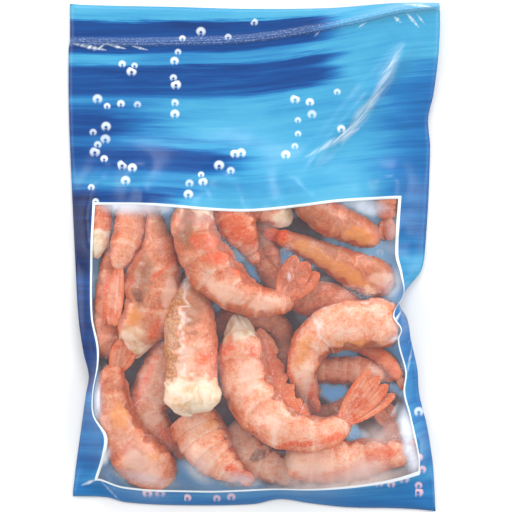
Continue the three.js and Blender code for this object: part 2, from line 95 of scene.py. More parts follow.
WINDOW_BOTTOM = [
    (-78, -110.5), (-66, -114.5), (-30, -116.5), (0, -115.5), (30, -115), (60, -111), (82, -104),
]
WINDOW_TOP = [(-80, 26), (-50, 25.5), (-20, 23), (0, 22.5), (25, 25), (45, 27.5), (72, 29)]
ZIP_LINE = [(-93, 107.5), (-50, 107.5), (-5, 109), (25, 113), (50, 117.5), (75, 123), (90, 125.5)]
ZIP_FROM_END = 0.6

# The sheet's lines follow the outline, the window and the zip. A line number's whole part is
# its zone. These are the zones' borders on the flat print and how many cells each has.
NOMINAL_X = [-90, -79, 74, 87]
NOMINAL_Y = [-124, -112, 26, 108, 112, 126]
CELLS_ACROSS = [9, 112, 11]
CELLS_ALONG = [10, 102, 56, 12, 10]
ZIP_ZONE = 3.5
PRINT_SPAN = 300  # millimetres of flat print that the UV map's unit square holds

SEAM_FLAT = 1.4
SEAM_LIFT = 6
SEAM_MIDDLE = -45
SEAM_REACH = 60
CURL = 12
CORNER_LIFT = 12
CORNER_FROM = 10
CORNER_TO = 90
CORNER_ZONES = 1.5

# Folds that stand in the film: from, to, height and half width. The first few are in the
# solids too, and the fine ones only here.
FOLDS = [
    ((22, 40), (80, 108), 5, 8), ((-74, -106), (-66, -122), 4, 3.5),
    ((-74, -108), (-88, -116), 3, 3), ((-82, -58), (-72, -92), 4, 4), ((74, -26), (68, -44), 4, 4),
    ((80, -44), (78, -68), 2.5, 3), ((70, -33), (62, -37), 1.2, 2),
    ((73, -40), (66, -43), 1.0, 1.6), ((-90, 104), (-74, 106), 1.0, 2.2),
    ((-68, 104.5), (-56, 105.5), 0.8, 2), ((-48, 103), (-40, 105.5), 0.7, 1.8),
    ((66, 117), (74, 108), 1.6, 2.5), ((74, 119), (79, 108), 1.8, 2.2),
    ((80, 121), (84, 112), 1.4, 2), ((-86, 100), (-40, 84), 0.8, 5), ((40, 96), (82, 60), 1.2, 7),
    ((84, 40), (80, -20), 1.5, 5),
]

# ---------------------------------------------------------------- the tails, in laying order
# Each as in the solids: its middle line from the neck to the fan's root as (x, y, half depth),
# the side of the belly (1 is left of that way), and its fan (blades, spread, length, bend).
# Then its looks. Along it: start is where its neck ends, round how far the neck rounds off and
# neck how much it narrows, meat how far bare meat shows, and wide and rear how much wider its
# front half and its rear lie. From 0 to 1: how brown, orange and frosted it is, how tan its
# belly, how ruddy or glowing its fan, and how clear its plates. broad widens the fan's blades,
# shell is the angle from its back where the belly begins, and glaze is a plate of ice (from and
# to along it, from and to round it). skirt is a ragged fringe of legs and shell (from and to
# along it, width, and 1 for the belly's side or -1 for the back's). patches of colour are
# (kind, x, y, half length, half width, turn).
TAILS = [
    ([(-74, -48, 8), (-73, -34, 8), (-72, -20, 7.5), (-71, -6, 6.5), (-70, 3, 5)], 1, (1, 0, 8, 0),
     dict(brown=0.75, orange=0.5, patches=[("red", -73, -20, 12, 2.5, 85)])),
    ([(4, 20, 6.5), (6, 10, 7), (8, 0, 6), (9.5, -9, 4.5)], 1, (1, 0, 8, 0), dict(brown=0.7)),
    ([(50, -25, 7), (40, -21.5, 8.5), (29, -20.5, 9.5), (18, -16.5, 8), (9.5, -10, 6),
      (4, -3, 4.2)], -1, (2, 26, 12, -6), dict(brown=0.8, orange=0.4)),
    ([(29, -56, 7.2), (40, -56.5, 7.3), (52, -57, 7), (64, -58, 5.5)], -1, (1, 0, 8, 0),
     dict(brown=0.35, frost=0.3, patches=[("dark", 36, -62.5, 6, 1.6, 0)])),
    ([(20, -80, 5), (32, -79, 5), (44, -75, 4.5), (52, -69, 3.5)], 1, (1, 0, 8, 0),
     dict(brown=1.0)),
    ([(-20, -36, 8), (-8, -31, 7.5), (4, -31, 7), (12.5, -36, 6.5), (14.5, -48, 5),
      (15.5, -62, 4.5)], -1, (1, 0, 8, 0), dict(brown=0.95, orange=0.4)),
    ([(-9, -84, 7.5), (-5, -94, 9.5), (4, -102, 9.5), (16, -106, 8), (27, -107.5, 5.5)], 1,
      (1, 0, 8, 0),
     dict(brown=0.1, frost=0.9, patches=[("dark", 2, -99, 5, 3, 30)])),
    ([(74, -99, 6), (71, -91, 6), (68, -84, 5)], -1, (2, 40, 11, 0), dict(brown=0.6, orange=0.5)),
    ([(18.5, 20.5, 5.5), (12, 22, 7.5), (2, 25, 8), (-10, 28, 7)], 1, (1, 0, 8, 0),
     dict(meat=0.3, brown=0.25, orange=0.3)),
    ([(66.5, 40, 7), (66.5, 30, 6.5), (66.5, 20, 5)], 1, (2, 16, 12, 0),
     dict(brown=0.7, orange=0.3)),
    ([(-78.5, 1, 4.5), (-78, 9, 6.5), (-78, 18, 7), (-77, 28, 6.5), (-75, 38, 5)], 1, (1, 0, 8, 0),
     dict(meat=0.34, orange=0.9, round=0.2)),
    ([(-42, -44, 8), (-45.5, -56, 8.5), (-50.5, -68, 9.5), (-53, -78, 9.5), (-47, -87, 7.5),
      (-39, -94.5, 5)], 1, (2, 14, 8, 0),
     dict(brown=0.5, orange=0.2, frost=0.5, wide=1.18, patches=[
         ("red", -55, -64, 15, 2.2, 65), ("pale", -50, -80, 6, 4, 40),
         ("red", -42, -91, 9, 2.5, -45)])),
    ([(-31, -80, 11), (-27, -88, 11.5), (-21, -97, 10.5), (-13.5, -103.5, 7.5), (-7, -108, 4.5)], 1,
      (2, 14, 8, 0),
     dict(brown=0.15, orange=0.25, frost=0.5, wide=1.2, rear=1.1, plates=0.2, patches=[
         ("gold", -18, -82, 6, 5, 20), ("pale", -28, -98, 10, 5, -40),
         ("red", -9, -107, 6, 3, -35)])),
    ([(-44, -110, 9), (-52, -104, 11), (-60, -96, 11), (-66, -86, 9.5), (-69.5, -75, 7.8),
      (-70.5, -64, 7.3), (-69.5, -56, 6)], -1, (3, 24, 16, 15),
     dict(brown=0.4, orange=0.1, frost=0.3, wide=1.16, skirt=(0.3, 0.98, 4.5, 1), patches=[
         ("red", -63, -94, 7, 1.3, 55), ("red", -64, -58, 6, 3, 80),
         ("pale", -55, -103, 12, 6, -35), ("gold", -67, -79, 8, 4, 95),
         ("gold", -51, -100, 4, 3, 20)])),
    ([(-57, 46, 8), (-59, 30, 8.6), (-60.5, 16, 8.8), (-64, 4, 7.8), (-67.5, -4, 5)], 1,
      (3, 9, 31, 16), dict(brown=0.25, orange=0.05, frost=0.2, skirt=(0.15, 0.75, 3, 1))),
    ([(-60, -47, 7.5), (-57.5, -38, 11), (-53, -28, 12.5), (-50.5, -16, 13), (-49, -6, 11.5),
      (-47.5, 3, 8.8), (-48.5, 12, 5.7), (-50, 21, 3.6)], 1, (2, 20, 14, 0),
     dict(meat=0.1, neck=0.25, brown=0.5, orange=0.3, frost=0.3, wide=1.08, rear=1.1,
          skirt=(0.12, 0.85, 7, 1), plates=0.5, patches=[
         ("dull", -56, -12, 16, 5, 82), ("dark", -57, -19, 5, 2.5, 80),
         ("cream", -62, -40, 8, 5, 40), ("gold", -60, -30, 7, 4, 60), ("red", -49, -36, 6, 3, 60),
         ("red", -44, -6, 9, 1.2, 35), ("pale", -42, -18, 14, 3.5, 80)])),
    ([(-16, 40, 8), (-12, 27, 9.5), (-8, 16, 9.5), (-3.5, 7, 6.5), (-1, 2, 4)], 1, (1, 0, 6, 0),
     dict(brown=0.1, orange=0.5, patches=[("red", -8, 14, 12, 5.5, -55)])),
    ([(60.5, 9.5, 6.3), (54, 12, 7.8), (46, 15.5, 8.7), (36, 20, 9), (27, 26, 7.5), (20, 33, 5)], 1,
      (1, 0, 8, 0),
     dict(brown=0.8, orange=0.15, patches=[("gold", 53, 10, 9, 5, -20), ("red", 60, 9, 3, 4, 0)])),
    ([(46, -43.5, 3), (54, -45, 3.5), (62, -49, 4), (68, -54, 4), (72, -60, 3)], -1, (1, 0, 8, 0),
     dict(orange=0.9, brown=0.2, loose=True)),
    ([(18, -100, 9), (30, -101, 10.5), (44, -101, 10.5), (57, -99.5, 9.5), (68, -98, 8),
      (75, -96.5, 6.5)], 1, (2, 20, 8, 0),
     dict(brown=0.08, orange=0.15, frost=0.5, wide=1.1, patches=[
         ("red", 63, -98, 9, 4, 10), ("pale", 28, -101, 12, 7, 0), ("dull", 16, -100, 5, 6, 0)])),
    ([(-30.5, -79, 14), (-31, -70, 14.2), (-31.5, -60, 13), (-32, -50, 12), (-32.5, -38, 11),
      (-32, -27, 9), (-31.5, -16, 6), (-31, -8, 4)], 1, (1, 0, 12, 0),
     dict(meat=0.26, round=0.15, tan=1.0, rear=1.3, brown=0.25, orange=0.3, frost=0.45, shell=110,
          glaze=(0.0, 1.0, -40, 104), patches=[
         ("dull", -31, -22, 16, 7, 90), ("red", -25, -50, 3.5, 3, 0), ("red", -22, -62, 5, 2, 80),
         ("pale", -34, -52, 9, 4, 80)])),
    ([(-8, -33, 9.5), (-6, -43, 12), (-5, -54, 13.2), (-2.5, -65, 13.2), (4, -76, 12.6),
      (14, -84, 11), (25, -87.5, 9.6), (36, -87, 8), (45, -82, 6)], 1, (4, 32, 29, 12),
     dict(meat=0.1, neck=0.45, orange=0.35, frost=0.55, skirt=(0.06, 0.82, 12, 1), plates=0.6,
          patches=[
         ("red", 0, -47, 4, 3.5, 0), ("red", -12, -44, 6, 2.5, 70), ("pale", -3, -60, 12, 6, 80),
         ("red", 20, -93, 12, 2.2, 8), ("red", 38, -90, 8, 1.8, 20),
         ("pale", 12, -84, 8, 4, -30)])),
    ([(72, -35, 10.5), (63, -33.5, 12), (52, -33.5, 12), (41, -35, 11), (31.5, -40, 9),
      (25.5, -50, 6.8), (25, -61, 5.8), (27.5, -70, 5)], 1, (2, 16, 9, 0),
     dict(start=0.03, rear=1.3, orange=0.35, brown=0.05, frost=0.6, glaze=(-0.1, 0.52, 22, 200),
          skirt=(0.05, 0.5, 3.5, -1), patches=[
         ("gold", 24, -47, 9, 3.5, 75), ("pale", 26, -60, 9, 2.5, 90), ("gold", 54, -44, 14, 3, -5),
         ("red", 29, -68, 6, 4, 90)])),
    ([(67, -13.5, 8), (60, -10.5, 10.3), (51, -7, 9.6), (41, -2.5, 7.8), (30, 3, 6.3), (20, 7.5, 5),
      (13, 10, 4.2)], 1, (1, 0, 9, 0),
     dict(brown=0.75, orange=0.05, glow=1.0, patches=[
         ("gold", 44, -8, 21, 4.5, -32), ("gold", 28, 3, 11, 4, -25), ("pale", 63, -11, 6, 4, 0),
         ("cream", 58, -19, 5, 3, -60), ("ember", 12, 10.5, 5, 7, 0)])),
    ([(-28, 28, 8.5), (-29.5, 17, 11), (-27.5, 6, 11.7), (-21.5, -5, 11.9), (-12.5, -15, 10.8),
      (-2.5, -20.7, 8.8), (7.5, -22.3, 7.2), (16.5, -22.3, 5.5)], 1, (3, 36, 21, 52),
     dict(meat=0.09, neck=0.1, brown=0.5, orange=0.55, frost=0.25, skirt=(0.2, 0.85, 5, 1),
          ruddy=0.45, broad=1.35, plates=1.0, patches=[
         ("red", -22, 7, 10, 5.5, -10), ("red", -17, 1, 9, 4.5, 15), ("red", -8, -7, 4, 2.5, -40),
         ("dull", -34, 13, 13, 4.5, 80), ("pale", -14, -17, 12, 5, -25),
         ("pale", 6, -23, 10, 4, 0)])),
]
USUAL_LOOKS = {"brown": 0.15, "orange": 0.15, "frost": 0.15, "ruddy": 0.0, "glow": 0.0}
PATCHES = ("red", "pale", "dark", "dull", "gold", "cream", "ember")
# Marks read by the shell's material, among them painted shade on the flanks, a painted shadow at
# each plate's rear edge and a painted highlight on each plate's crest.
SHELL_MARKS = (
    "run", "round", "plate", "orange", "brown", "frost", "meat", "belly", "glaze", "seam", "lip_highlight",
    "side", "rim", "tan",
)
PLATES = 6
STEP = 0.03
FLATNESS = 0.66

# Haze and painted glare on the window as (x, y, half length, half width, turn, strength, warmth):
# frost, and painted glare where creases and edges catch the lamps, warm where pink juice has
# frozen to the film.
HAZE_AND_GLARE = [
    (-62, 26, 22, 6, -2, 1.0, 0), (-28, 20, 9, 6, 0, 0.35, 0.2), (57, 25, 16, 4.5, -8, 0.6, 0),
    (70, 14, 14, 5, 80, 0.45, 0), (69, -14, 12, 6, 70, 0.5, 0), (50, -112, 34, 13, 6, 1.0, 0.75),
    (22, -113, 18, 10, 0, 0.75, 0.6), (-6, -111, 14, 4.5, -5, 0.6, 0.2),
    (-28, -106, 12, 7, -45, 0.5, 0.15), (-54, -110, 20, 4.5, -12, 0.6, 0.3),
    (-58, -97, 17, 8, -40, 0.35, 0.6), (-77.5, -70, 15, 1.8, 88, 1.1, 0),
    (-74, -99, 7, 3, 60, 0.9, 0), (77, -93, 20, 4.6, 103, 1.7, 0), (63, -89, 11, 8, 0, 0.8, 0.7),
    (71, -40, 5, 1.2, 20, 0.9, 0), (70, -76, 5, 1.4, 60, 0.6, 0), (-34, -12, 6, 1.0, 60, 0.4, 0),
    (17, -9, 5, 0.5, -70, 0.9, 0), (19, -17, 5, 0.5, -80, 0.9, 0),
]

# Gaps between the tails where shade is painted dark brown on the back film, as deeper tails in
# shadow would look, as (x, y, half length, half width, turn).
SHADES = [
    (-58, -60, 20, 9, 100), (-17, -77, 18, 9, -60), (-38, -84, 11, 9, 0), (19, -42, 17, 9, 90),
    (34, -12, 14, 6, -20), (67, -55, 10, 6, -50), (-8, -106, 11, 9, 0), (26, 14, 12, 6, -25),
    (-73, -51, 10, 6, 90), (14, 12, 7, 5, 0), (69, -74, 9, 6, -60), (33, -74, 8, 5, -30),
    (50, -62, 6, 4, 60), (57, -49, 6, 3.5, -15), (58, -84, 10, 5, -30),
]

# ---------------------------------------------------------------- settings


def colour(name, value, description):
    said = dict(name=name, description=description, default=value)
    return bpy.props.FloatVectorProperty(subtype="COLOR", size=3, min=0, max=1, **said)


def length(name, value, description):
    said = dict(name=name, description=description, default=value)
    return bpy.props.FloatProperty(subtype="DISTANCE", unit="LENGTH", **said)


def share(name, value, description):
    said = dict(name=name, description=description, default=value)
    return bpy.props.FloatProperty(subtype="FACTOR", min=0, max=1, **said)


def number(name, value, description):
    return bpy.props.FloatProperty(name=name, description=description, default=value)


def srgb(red, green, blue):
    """A colour given in 0 to 255, as the linear one that a shader takes."""
    parts = [part / 255 for part in (red, green, blue)]
    return tuple(p / 12.92 if p < 0.0404 else ((p + 0.055) / 1.055) ** 2.4 for p in parts)


class PouchFilm(bpy.types.PropertyGroup):
    thickness: length("Thickness", 0.15 * MM, "Thickness of the printed film")
    clearance: length("Clearance", 0.35 * MM, "How far the film keeps above the tails")
    zip_rise: length("Zip rise", 1.3 * MM, "How far the closed zip stands proud of the film")
    border: length("Border", 1.3 * MM, "Width of the white line round the window")
    haze: share("Haze", 0.03, "Haze of the window where it lies on the tails")
    haze_far: share("Far haze", 0.26, "Haze of the window where it stands well clear of them")
    deep: colour("Deep blue", srgb(6, 30, 84), "The darkest blue of the print")
    dark: colour("Dark blue", srgb(14, 70, 138), "The blue of the brushed bands")
    mid: colour("Mid blue", srgb(34, 114, 176), "The blue between")
    bright: colour("Bright blue", srgb(66, 158, 200), "The bright water of the print")
    pale: colour("Pale blue", srgb(96, 180, 208), "The lightest water of the print")
    inside: colour("Inside", srgb(156, 218, 255), "What pales the print where it shows from inside")
    white: colour("White", srgb(238, 246, 250), "The bubbles and the line round the window")


class ShrimpColours(bpy.types.PropertyGroup):
    rust: colour("Rust", srgb(204, 92, 50), "The darkest of the mottled shell")
    salmon: colour("Salmon", srgb(236, 134, 90), "The body colour of the shell")
    peach: colour("Peach", srgb(250, 172, 132), "The paler shell")
    pink: colour("Pink", srgb(255, 214, 190), "The palest pink of the frosted shell")
    orange: colour("Orange", srgb(236, 88, 28), "The orange-red patches")
    ember: colour("Ember", srgb(228, 58, 0), "The deep red of a glowing end")
    glow: colour("Glow", srgb(255, 122, 20), "The orange of a glowing end")
    brown: colour("Brown", srgb(174, 110, 74), "The dull brown of shells without frost")
    shade: colour("Shade", srgb(132, 70, 48), "The dark hollows and bruises")
    gold: colour("Gold", srgb(246, 164, 78), "The golden fibres of the belly")
    meat: colour("Meat", srgb(255, 236, 212), "The bare meat at the neck")
    straw: colour("Straw", srgb(228, 178, 116), "The darker hollows in the bare meat")
    fan: colour("Fan", srgb(236, 98, 44), "The tail fan and the legs")
    frost: colour("Frost", srgb(255, 238, 226), "The frost that clings to the tails")


class StageSettings(bpy.types.PropertyGroup):
    floor: colour("Floor", (0.93, 0.93, 0.93), "The plain pale floor")
    lens: number("Lens", 400, "The camera's focal length in millimetres")
    view_width: length("View width", 0.256, "Width of the floor that the camera sees")
    sky: number("Sky", 0.68, "Strength of the light from all round")
    lamp: number("Lamps", 11, "Power of each soft lamp in watts")


# ---------------------------------------------------------------- numbers on arrays


def smooth(t):
    t = np.clip(t, 0, 1)
    return t * t * (3 - 2 * t)


def through(stations):
    """A curve through stations (t, value), rounded between them."""
    t, v = np.array(stations, float).T
    index = np.arange(len(t))
    before, after = np.maximum(index - 1, 0), np.minimum(index + 1, len(t) - 1)
    slope = (v[after] - v[before]) / (t[after] - t[before])

    def value(at):
        at = np.asarray(at, float)
        k = np.clip(np.searchsorted(t, at), 1, len(t) - 1)
        w = t[k] - t[k - 1]
        f = np.clip((at - t[k - 1]) / w, 0, 1)
        line = (1 + 2 * f) * (1 - f) ** 2 * v[k - 1] + f * f * (3 - 2 * f) * v[k]
        return line + w * f * (1 - f) * ((1 - f) * slope[k - 1] - f * slope[k])

    return value


def between(stops, zone):
    """The value at a zone number. Whole numbers are the stops themselves."""
    *levels, zone = np.broadcast_arrays(*stops, zone)
    levels = np.stack(levels)
    k = np.clip(np.floor(zone).astype(int), 0, len(levels) - 2)
    low = np.take_along_axis(levels, k[None], 0)[0]
    high = np.take_along_axis(levels, k[None] + 1, 0)[0]
    return low + (high - low) * (zone - k)


def waves(points, wavelength, seed, count=24):
    """Smooth noise from about -1 to 1: many plane waves of random heading and phase."""
    draw = np.random.default_rng(seed)
    points = np.asarray(points, float)
    heading = draw.normal(size=(points.shape[-1], count))
    heading /= np.linalg.norm(heading, axis=0)
    number = 2 * math.pi / (wavelength * draw.uniform(0.6, 1.6, count))
    phase = draw.uniform(0, 2 * math.pi, count)
    return np.sin(points @ heading * number + phase).sum(-1) / math.sqrt(count) / 1.4


left_side, right_side = through(LEFT_SIDE), through(RIGHT_SIDE)
bottom_end, top_end = through(BOTTOM_END), through(TOP_END)
window_left, window_right = through(WINDOW_LEFT), through(WINDOW_RIGHT)
window_bottom, window_top = through(WINDOW_BOTTOM), through(WINDOW_TOP)
zip_line = through(ZIP_LINE)
ZIP_WIDTH = NOMINAL_Y[4] - NOMINAL_Y[3]
ZIP_MIDDLE = (NOMINAL_Y[4] + NOMINAL_Y[3]) / 2


def on_sheet(a, b):
    """The place of zone a across and b along."""
    x, y = between(NOMINAL_X, a), between(NOMINAL_Y, b)
    end, zipped = top_end(x), zip_line(x)
    zip_top = np.minimum(zipped + ZIP_WIDTH / 2, end - ZIP_FROM_END)
    sides = [left_side(y), window_left(y), window_right(y), right_side(y)]
    levels = [bottom_end(x), window_bottom(x), window_top(x), zipped - ZIP_WIDTH / 2, zip_top, end]
    return between(sides, a), between(levels, b)


def zone_lines(cells):
    """The zone number of each line of the sheet."""
    parts = [k + np.arange(n) / n for k, n in enumerate(cells)]
    return np.concatenate([*parts, [len(cells)]])


def edge_distance(x, y):
    sides = x - left_side(y), right_side(y) - x
    return np.minimum.reduce([*sides, y - bottom_end(x), top_end(x) - y])


def seam_height(y):
    return SEAM_FLAT + (SEAM_LIFT - SEAM_FLAT) * smooth(1 - np.abs(y - SEAM_MIDDLE) / SEAM_REACH)


def corner_lift(x, b):
    along = smooth((x - CORNER_FROM) / (CORNER_TO - CORNER_FROM))
    return CORNER_LIFT * along * smooth(1 - np.abs(b - ZIP_ZONE) / CORNER_ZONES)


def beside(x, y, ends, clamp):
    """The share of the way along a line, and how far off it a place is in x and y."""
    (x0, y0), (x1, y1) = ends
    dx, dy = x1 - x0, y1 - y0
    t = clamp(((x - x0) * dx + (y - y0) * dy) / (dx * dx + dy * dy))
    return t, x - x0 - t * dx, y - y0 - t * dy


def fold_height(x, y):
    height = np.zeros_like(x)
    for *ends, rise, width in FOLDS:
        t, off_x, off_y = beside(x, y, ends, lambda t: np.clip(t, 0, 1))
        ridge = smooth(1 - np.hypot(off_x, off_y) / width) ** 1.2
        height += rise * ridge * np.sin(math.pi * (0.1 + 0.8 * t))
    return height


# ---------------------------------------------------------------- pieces by hand


def alone(piece):
    bpy.ops.object.select_all(action="DESELECT")
    piece.select_set(True)
    bpy.context.view_layer.objects.active = piece
    return piece


def added(operator, name, **settings):
    """What an operator adds, alone selected and with its name."""
    bpy.ops.object.select_all(action="DESELECT")
    operator(**settings)
    piece = bpy.context.object
    piece.name = piece.data.name = name
    return piece


def ball(name, segments, rings):
    """A ball to draw out, with how far along it each point is from 0 to 1, and its x and y."""
    add = bpy.ops.mesh.primitive_uv_sphere_add
    piece = added(add, name, segments=segments, ring_count=rings, radius=1)
    bpy.ops.object.shade_smooth()
    places = np.zeros(len(piece.data.vertices) * 3)
    piece.data.vertices.foreach_get("co", places)
    x, y, z = places.reshape(-1, 3).T
    return piece, np.arccos(np.clip(z, -1, 1)) / math.pi, x, y


def flat_ball(name, segments, rings):
    """A ball to flatten, with how far along, across and out of its face each point is."""
    piece, t, x, y = ball(name, segments, rings)
    radius = np.maximum(np.hypot(x, y), 1e-6)
    return piece, t, x / radius, y / radius


def shape(piece, points):
    """Puts the piece's points where they are told, in millimetres."""
    piece.data.vertices.foreach_set("co", (np.asarray(points, float) * MM).ravel())
    piece.data.update()
    return piece


def mark(piece, **marks):
    """Keeps a value for each point under each name, for the materials."""
    count = len(piece.data.vertices)
    for name, values in marks.items():
        attribute = piece.data.attributes.new(name, "FLOAT", "POINT")
        attribute.data.foreach_set("value", np.broadcast_to(values, count).astype(np.float32))


def face_out(piece):
    alone(piece)
    bpy.ops.object.mode_set(mode="EDIT")
    bpy.ops.mesh.select_all(action="SELECT")
    bpy.ops.mesh.normals_make_consistent(inside=False)
    bpy.ops.object.mode_set(mode="OBJECT")
    return piece


def modify(piece, kind, **settings):
    alone(piece)
    bpy.ops.object.modifier_add(type=kind)
    modifier = piece.modifiers[-1]
    for key, value in settings.items():
        setattr(modifier, key, value)
    bpy.ops.object.modifier_apply(modifier=modifier.name)
    return piece


def join(pieces):
    alone(pieces[0])
    for piece in pieces:
        piece.select_set(True)
    bpy.ops.object.join()
    return pieces[0]


def finish_piece(piece, slot, *nodes):
    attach(piece, "root")
    if nodes:
        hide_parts(*nodes)
    return piece


# ---------------------------------------------------------------- shaders by expression


def maths(operation, turned=False):
    """A Python operator that adds a Math node. Turned, the socket comes second."""

    def apply(self, other):
        return self.math(operation, other, self) if turned else self.math(operation, self, other)

    return apply


class Expression:
    """A shader value that arithmetic works on."""

    def __init__(self, material, socket):
        self.material, self.socket = material, socket

    def math(self, operation, *values, clamp=False):
        settings = dict(operation=operation, use_clamp=clamp)
        return self.material.out(self.material.node("ShaderNodeMath", settings, values))

    __add__ = __radd__ = maths("ADD")
    __sub__, __rsub__ = maths("SUBTRACT"), maths("SUBTRACT", turned=True)
    __mul__ = __rmul__ = maths("MULTIPLY")
    __truediv__, __pow__ = maths("DIVIDE"), maths("POWER")
    __lt__, most = maths("LESS_THAN"), maths("MAXIMUM")

    def abs(self):
        return self.math("ABSOLUTE", self)

    def clamped(self):
        return self.math("ADD", self, 0, clamp=True)

    def step(self, low, high):
        """0 below low and 1 above high, smooth between. high below low turns it round."""
        settings = dict(interpolation_type="SMOOTHSTEP")
        ends = (low, high, 0, 1) if low < high else (high, low, 1, 0)
        return self.material.out(self.material.node("ShaderNodeMapRange", settings, [self, *ends]))

    def box(self, low, high, soft):
        return self.step(low - soft, low + soft) * self.step(high + soft, high - soft)


class Material:
    """A node material that is written as expressions."""

    def __init__(self, name, **constants):
        self.material = bpy.data.materials.new(name)
        self.material.use_nodes = True
        self.tree = self.material.node_tree
        self.shader = self.tree.nodes["Principled BSDF"]
        self.set(**constants)

    def node(self, kind, settings, values):
        """A node of a kind. Settings come first, then the values or links of its sockets."""
        node = self.tree.nodes.new(kind)
        for key, value in settings.items():
            setattr(node, key, value)
        for key, value in values.items() if isinstance(values, dict) else enumerate(values):
            self.feed(node.inputs[key], value)
        return node

    def feed(self, socket, value):
        if isinstance(value, Expression):
            self.tree.links.new(value.socket, socket)
        elif hasattr(value, "__len__") and socket.type == "RGBA":
            socket.default_value = (*value[:3], 1)
        else:
            socket.default_value = value

    def out(self, node, index=0):
        return Expression(self, node.outputs[index])

    def set(self, **values):
        for name, value in values.items():
            self.feed(self.shader.inputs[name.replace("_", " ")], value)

    def attribute(self, name):
        return self.out(self.node("ShaderNodeAttribute", dict(attribute_name=name), []), 2)

    def place(self):
        return self.out(self.node("ShaderNodeTexCoord", {}, []), 3)

    def split(self, vector):
        parts = self.node("ShaderNodeSeparateXYZ", {}, [vector])
        return [self.out(parts, k) for k in range(3)]

    def flat(self):
        """X and Y on the flat print, in millimetres."""
        uv = self.out(self.node("ShaderNodeTexCoord", {}, []), 2)
        return [(part - 0.5) * PRINT_SPAN for part in self.split(uv)[:2]]

    def real(self):
        """X and Y on the piece, in millimetres."""
        settings, values = dict(operation="MULTIPLY"), [self.place(), [1 / MM] * 3]
        scaled = self.node("ShaderNodeVectorMath", settings, values)
        return self.split(self.out(scaled))[:2]

    def vector(self, x, y, z=0.0):
        return self.out(self.node("ShaderNodeCombineXYZ", {}, [x, y, z]))

    def noise(self, vector, scale, detail=2.0, roughness=0.5, distortion=0.0):
        values = dict(Vector=vector, Scale=scale, Detail=detail)
        values.update(Roughness=roughness, Distortion=distortion)
        return self.out(self.node("ShaderNodeTexNoise", {}, values))

    def mix(self, factor, first, second):
        node = self.node("ShaderNodeMix", dict(data_type="RGBA"), {0: factor, 6: first, 7: second})
        return self.out(node, 2)

    def ramp(self, value, stops):
        node = self.node("ShaderNodeValToRGB", {}, [value])
        ramp = node.color_ramp
        for k, (position, stop) in enumerate(stops):
            element = ramp.elements[k] if k < 2 else ramp.elements.new(position)
            element.position, element.color = position, (*stop, 1)
        return self.out(node)

    def stroke(self, x, y, ends, width):
        """1 along the middle of a thin stroke and 0 off it, tapered to both its ends."""
        t, off_x, off_y = beside(x, y, ends, Expression.clamped)
        off = (off_x * off_x + off_y * off_y) ** 0.5 / width
        return (off + (t - 0.5).abs() * 1.1).step(1.0, 0.1)

    def bump(self, height, strength, distance):
        values = dict(Height=height, Strength=strength, Distance=distance)
        return self.out(self.node("ShaderNodeBump", {}, values))


# ---------------------------------------------------------------- the print
# Fields of the print: left, right, bottom, top, lightness and softness, laid over each other.
FIELDS = [
    (-200, 200, 119, 200, 0.80, 1.0), (-200, -40, 28, 82, 0.47, 12), (-200, -62, 60, 76, 0.26, 4),
    (-200, -8, 44, 56, 0.27, 3), (-200, -40, 26, 34, 0.22, 3.5), (-200, 10, 36, 43, 0.62, 2),
    (68, 200, -60, 84, 0.42, 9), (-200, 40, 82, 98.5, 0.26, 2.0), (-62, 24, 98.5, 103.5, 0.60, 1.2),
    (-200, 36, 104, 119.5, 0.22, 1.4), (-200, -79, -12, 32, 0.02, 6),
    (-200, -79, -70, -12, 0.12, 8), (-200, -79, -112, -70, 0.42, 6),
    (-200, 200, -200, -112, 0.50, 4), (74, 200, -112, -50, 0.46, 6), (74, 200, -20, -2, 0.72, 4),
]
# Streams of bubbles: from, to, half width, and how full.
STREAMS = [
    ((-82, 30), (-76, 70), 8, 0.7), ((-80, 76), (-58, 79), 7, 0.8), ((-70, 44), (-60, 40), 7, 0.85),
    ((-38, 72), (-34, 112), 5, 1.0), ((-62, 96), (-72, 94), 4, 0.7),
    ((-40, 110), (-4, 116), 6, 0.7), ((-38, 30), (-6, 50), 6, 0.85), ((18, 46), (26, 76), 7, 0.7),
    ((32, 64), (46, 62), 4, 0.8), ((40, 84), (44, 112), 6, 0.35), ((84, -114), (80, -84), 8, 0.55),
    ((-60, -118), (-10, -121), 4, 0.6), ((60, -112), (78, -108), 5, 0.45),
    ((-85, -50), (-84, 18), 3.0, 0.45), ((61, 14), (65, 2), 5, 0.9), ((14, -4), (26, 14), 5, 0.9),
]
BUBBLE_CELL = 6.8  # millimetres between the places where a bubble may be
# Painted highlights, drawn into the print as white glints on creased film: from, to, half width and
# strength.
GLINTS = [
    ((74, 106), (58, 74), 5.5, 0.4), ((63, 84), (44, 57), 5, 0.45), ((52, 64), (26, 50), 2.8, 0.5),
    ((62, 82), (52, 68), 0.9, 0.7), ((52, 68), (36, 54), 0.8, 0.8), ((72, 104), (66, 92), 0.8, 0.5),
    ((75, 126.4), (88, 124.4), 1.4, 0.9), ((76, 121.5), (82, 114.5), 1.4, 0.8),
    ((81, 121), (85, 116), 0.9, 0.6), ((70, 119.5), (73, 117), 1.6, 0.9),
    ((-90, 106.4), (-74, 103.4), 1.5, 0.95), ((-80, 103), (-73, 107), 1.0, 0.8),
    ((-73, 106.2), (-64, 104), 1.1, 0.85), ((-61, 105.4), (-53, 103.4), 1.0, 0.75),
    ((30, 110), (33, 113), 0.7, 0.8), ((52, 114.5), (56, 117), 0.7, 0.8),
    ((-78, -110.8), (-86, -114), 1.4, 0.8), ((-77, -111), (-66, -123), 1.0, 0.45),
    ((73, -27), (69, -34), 1.2, 0.9), ((79, -44), (76, -60), 1.0, 0.5),
    ((81, -36), (77, -43), 0.8, 0.4),
]
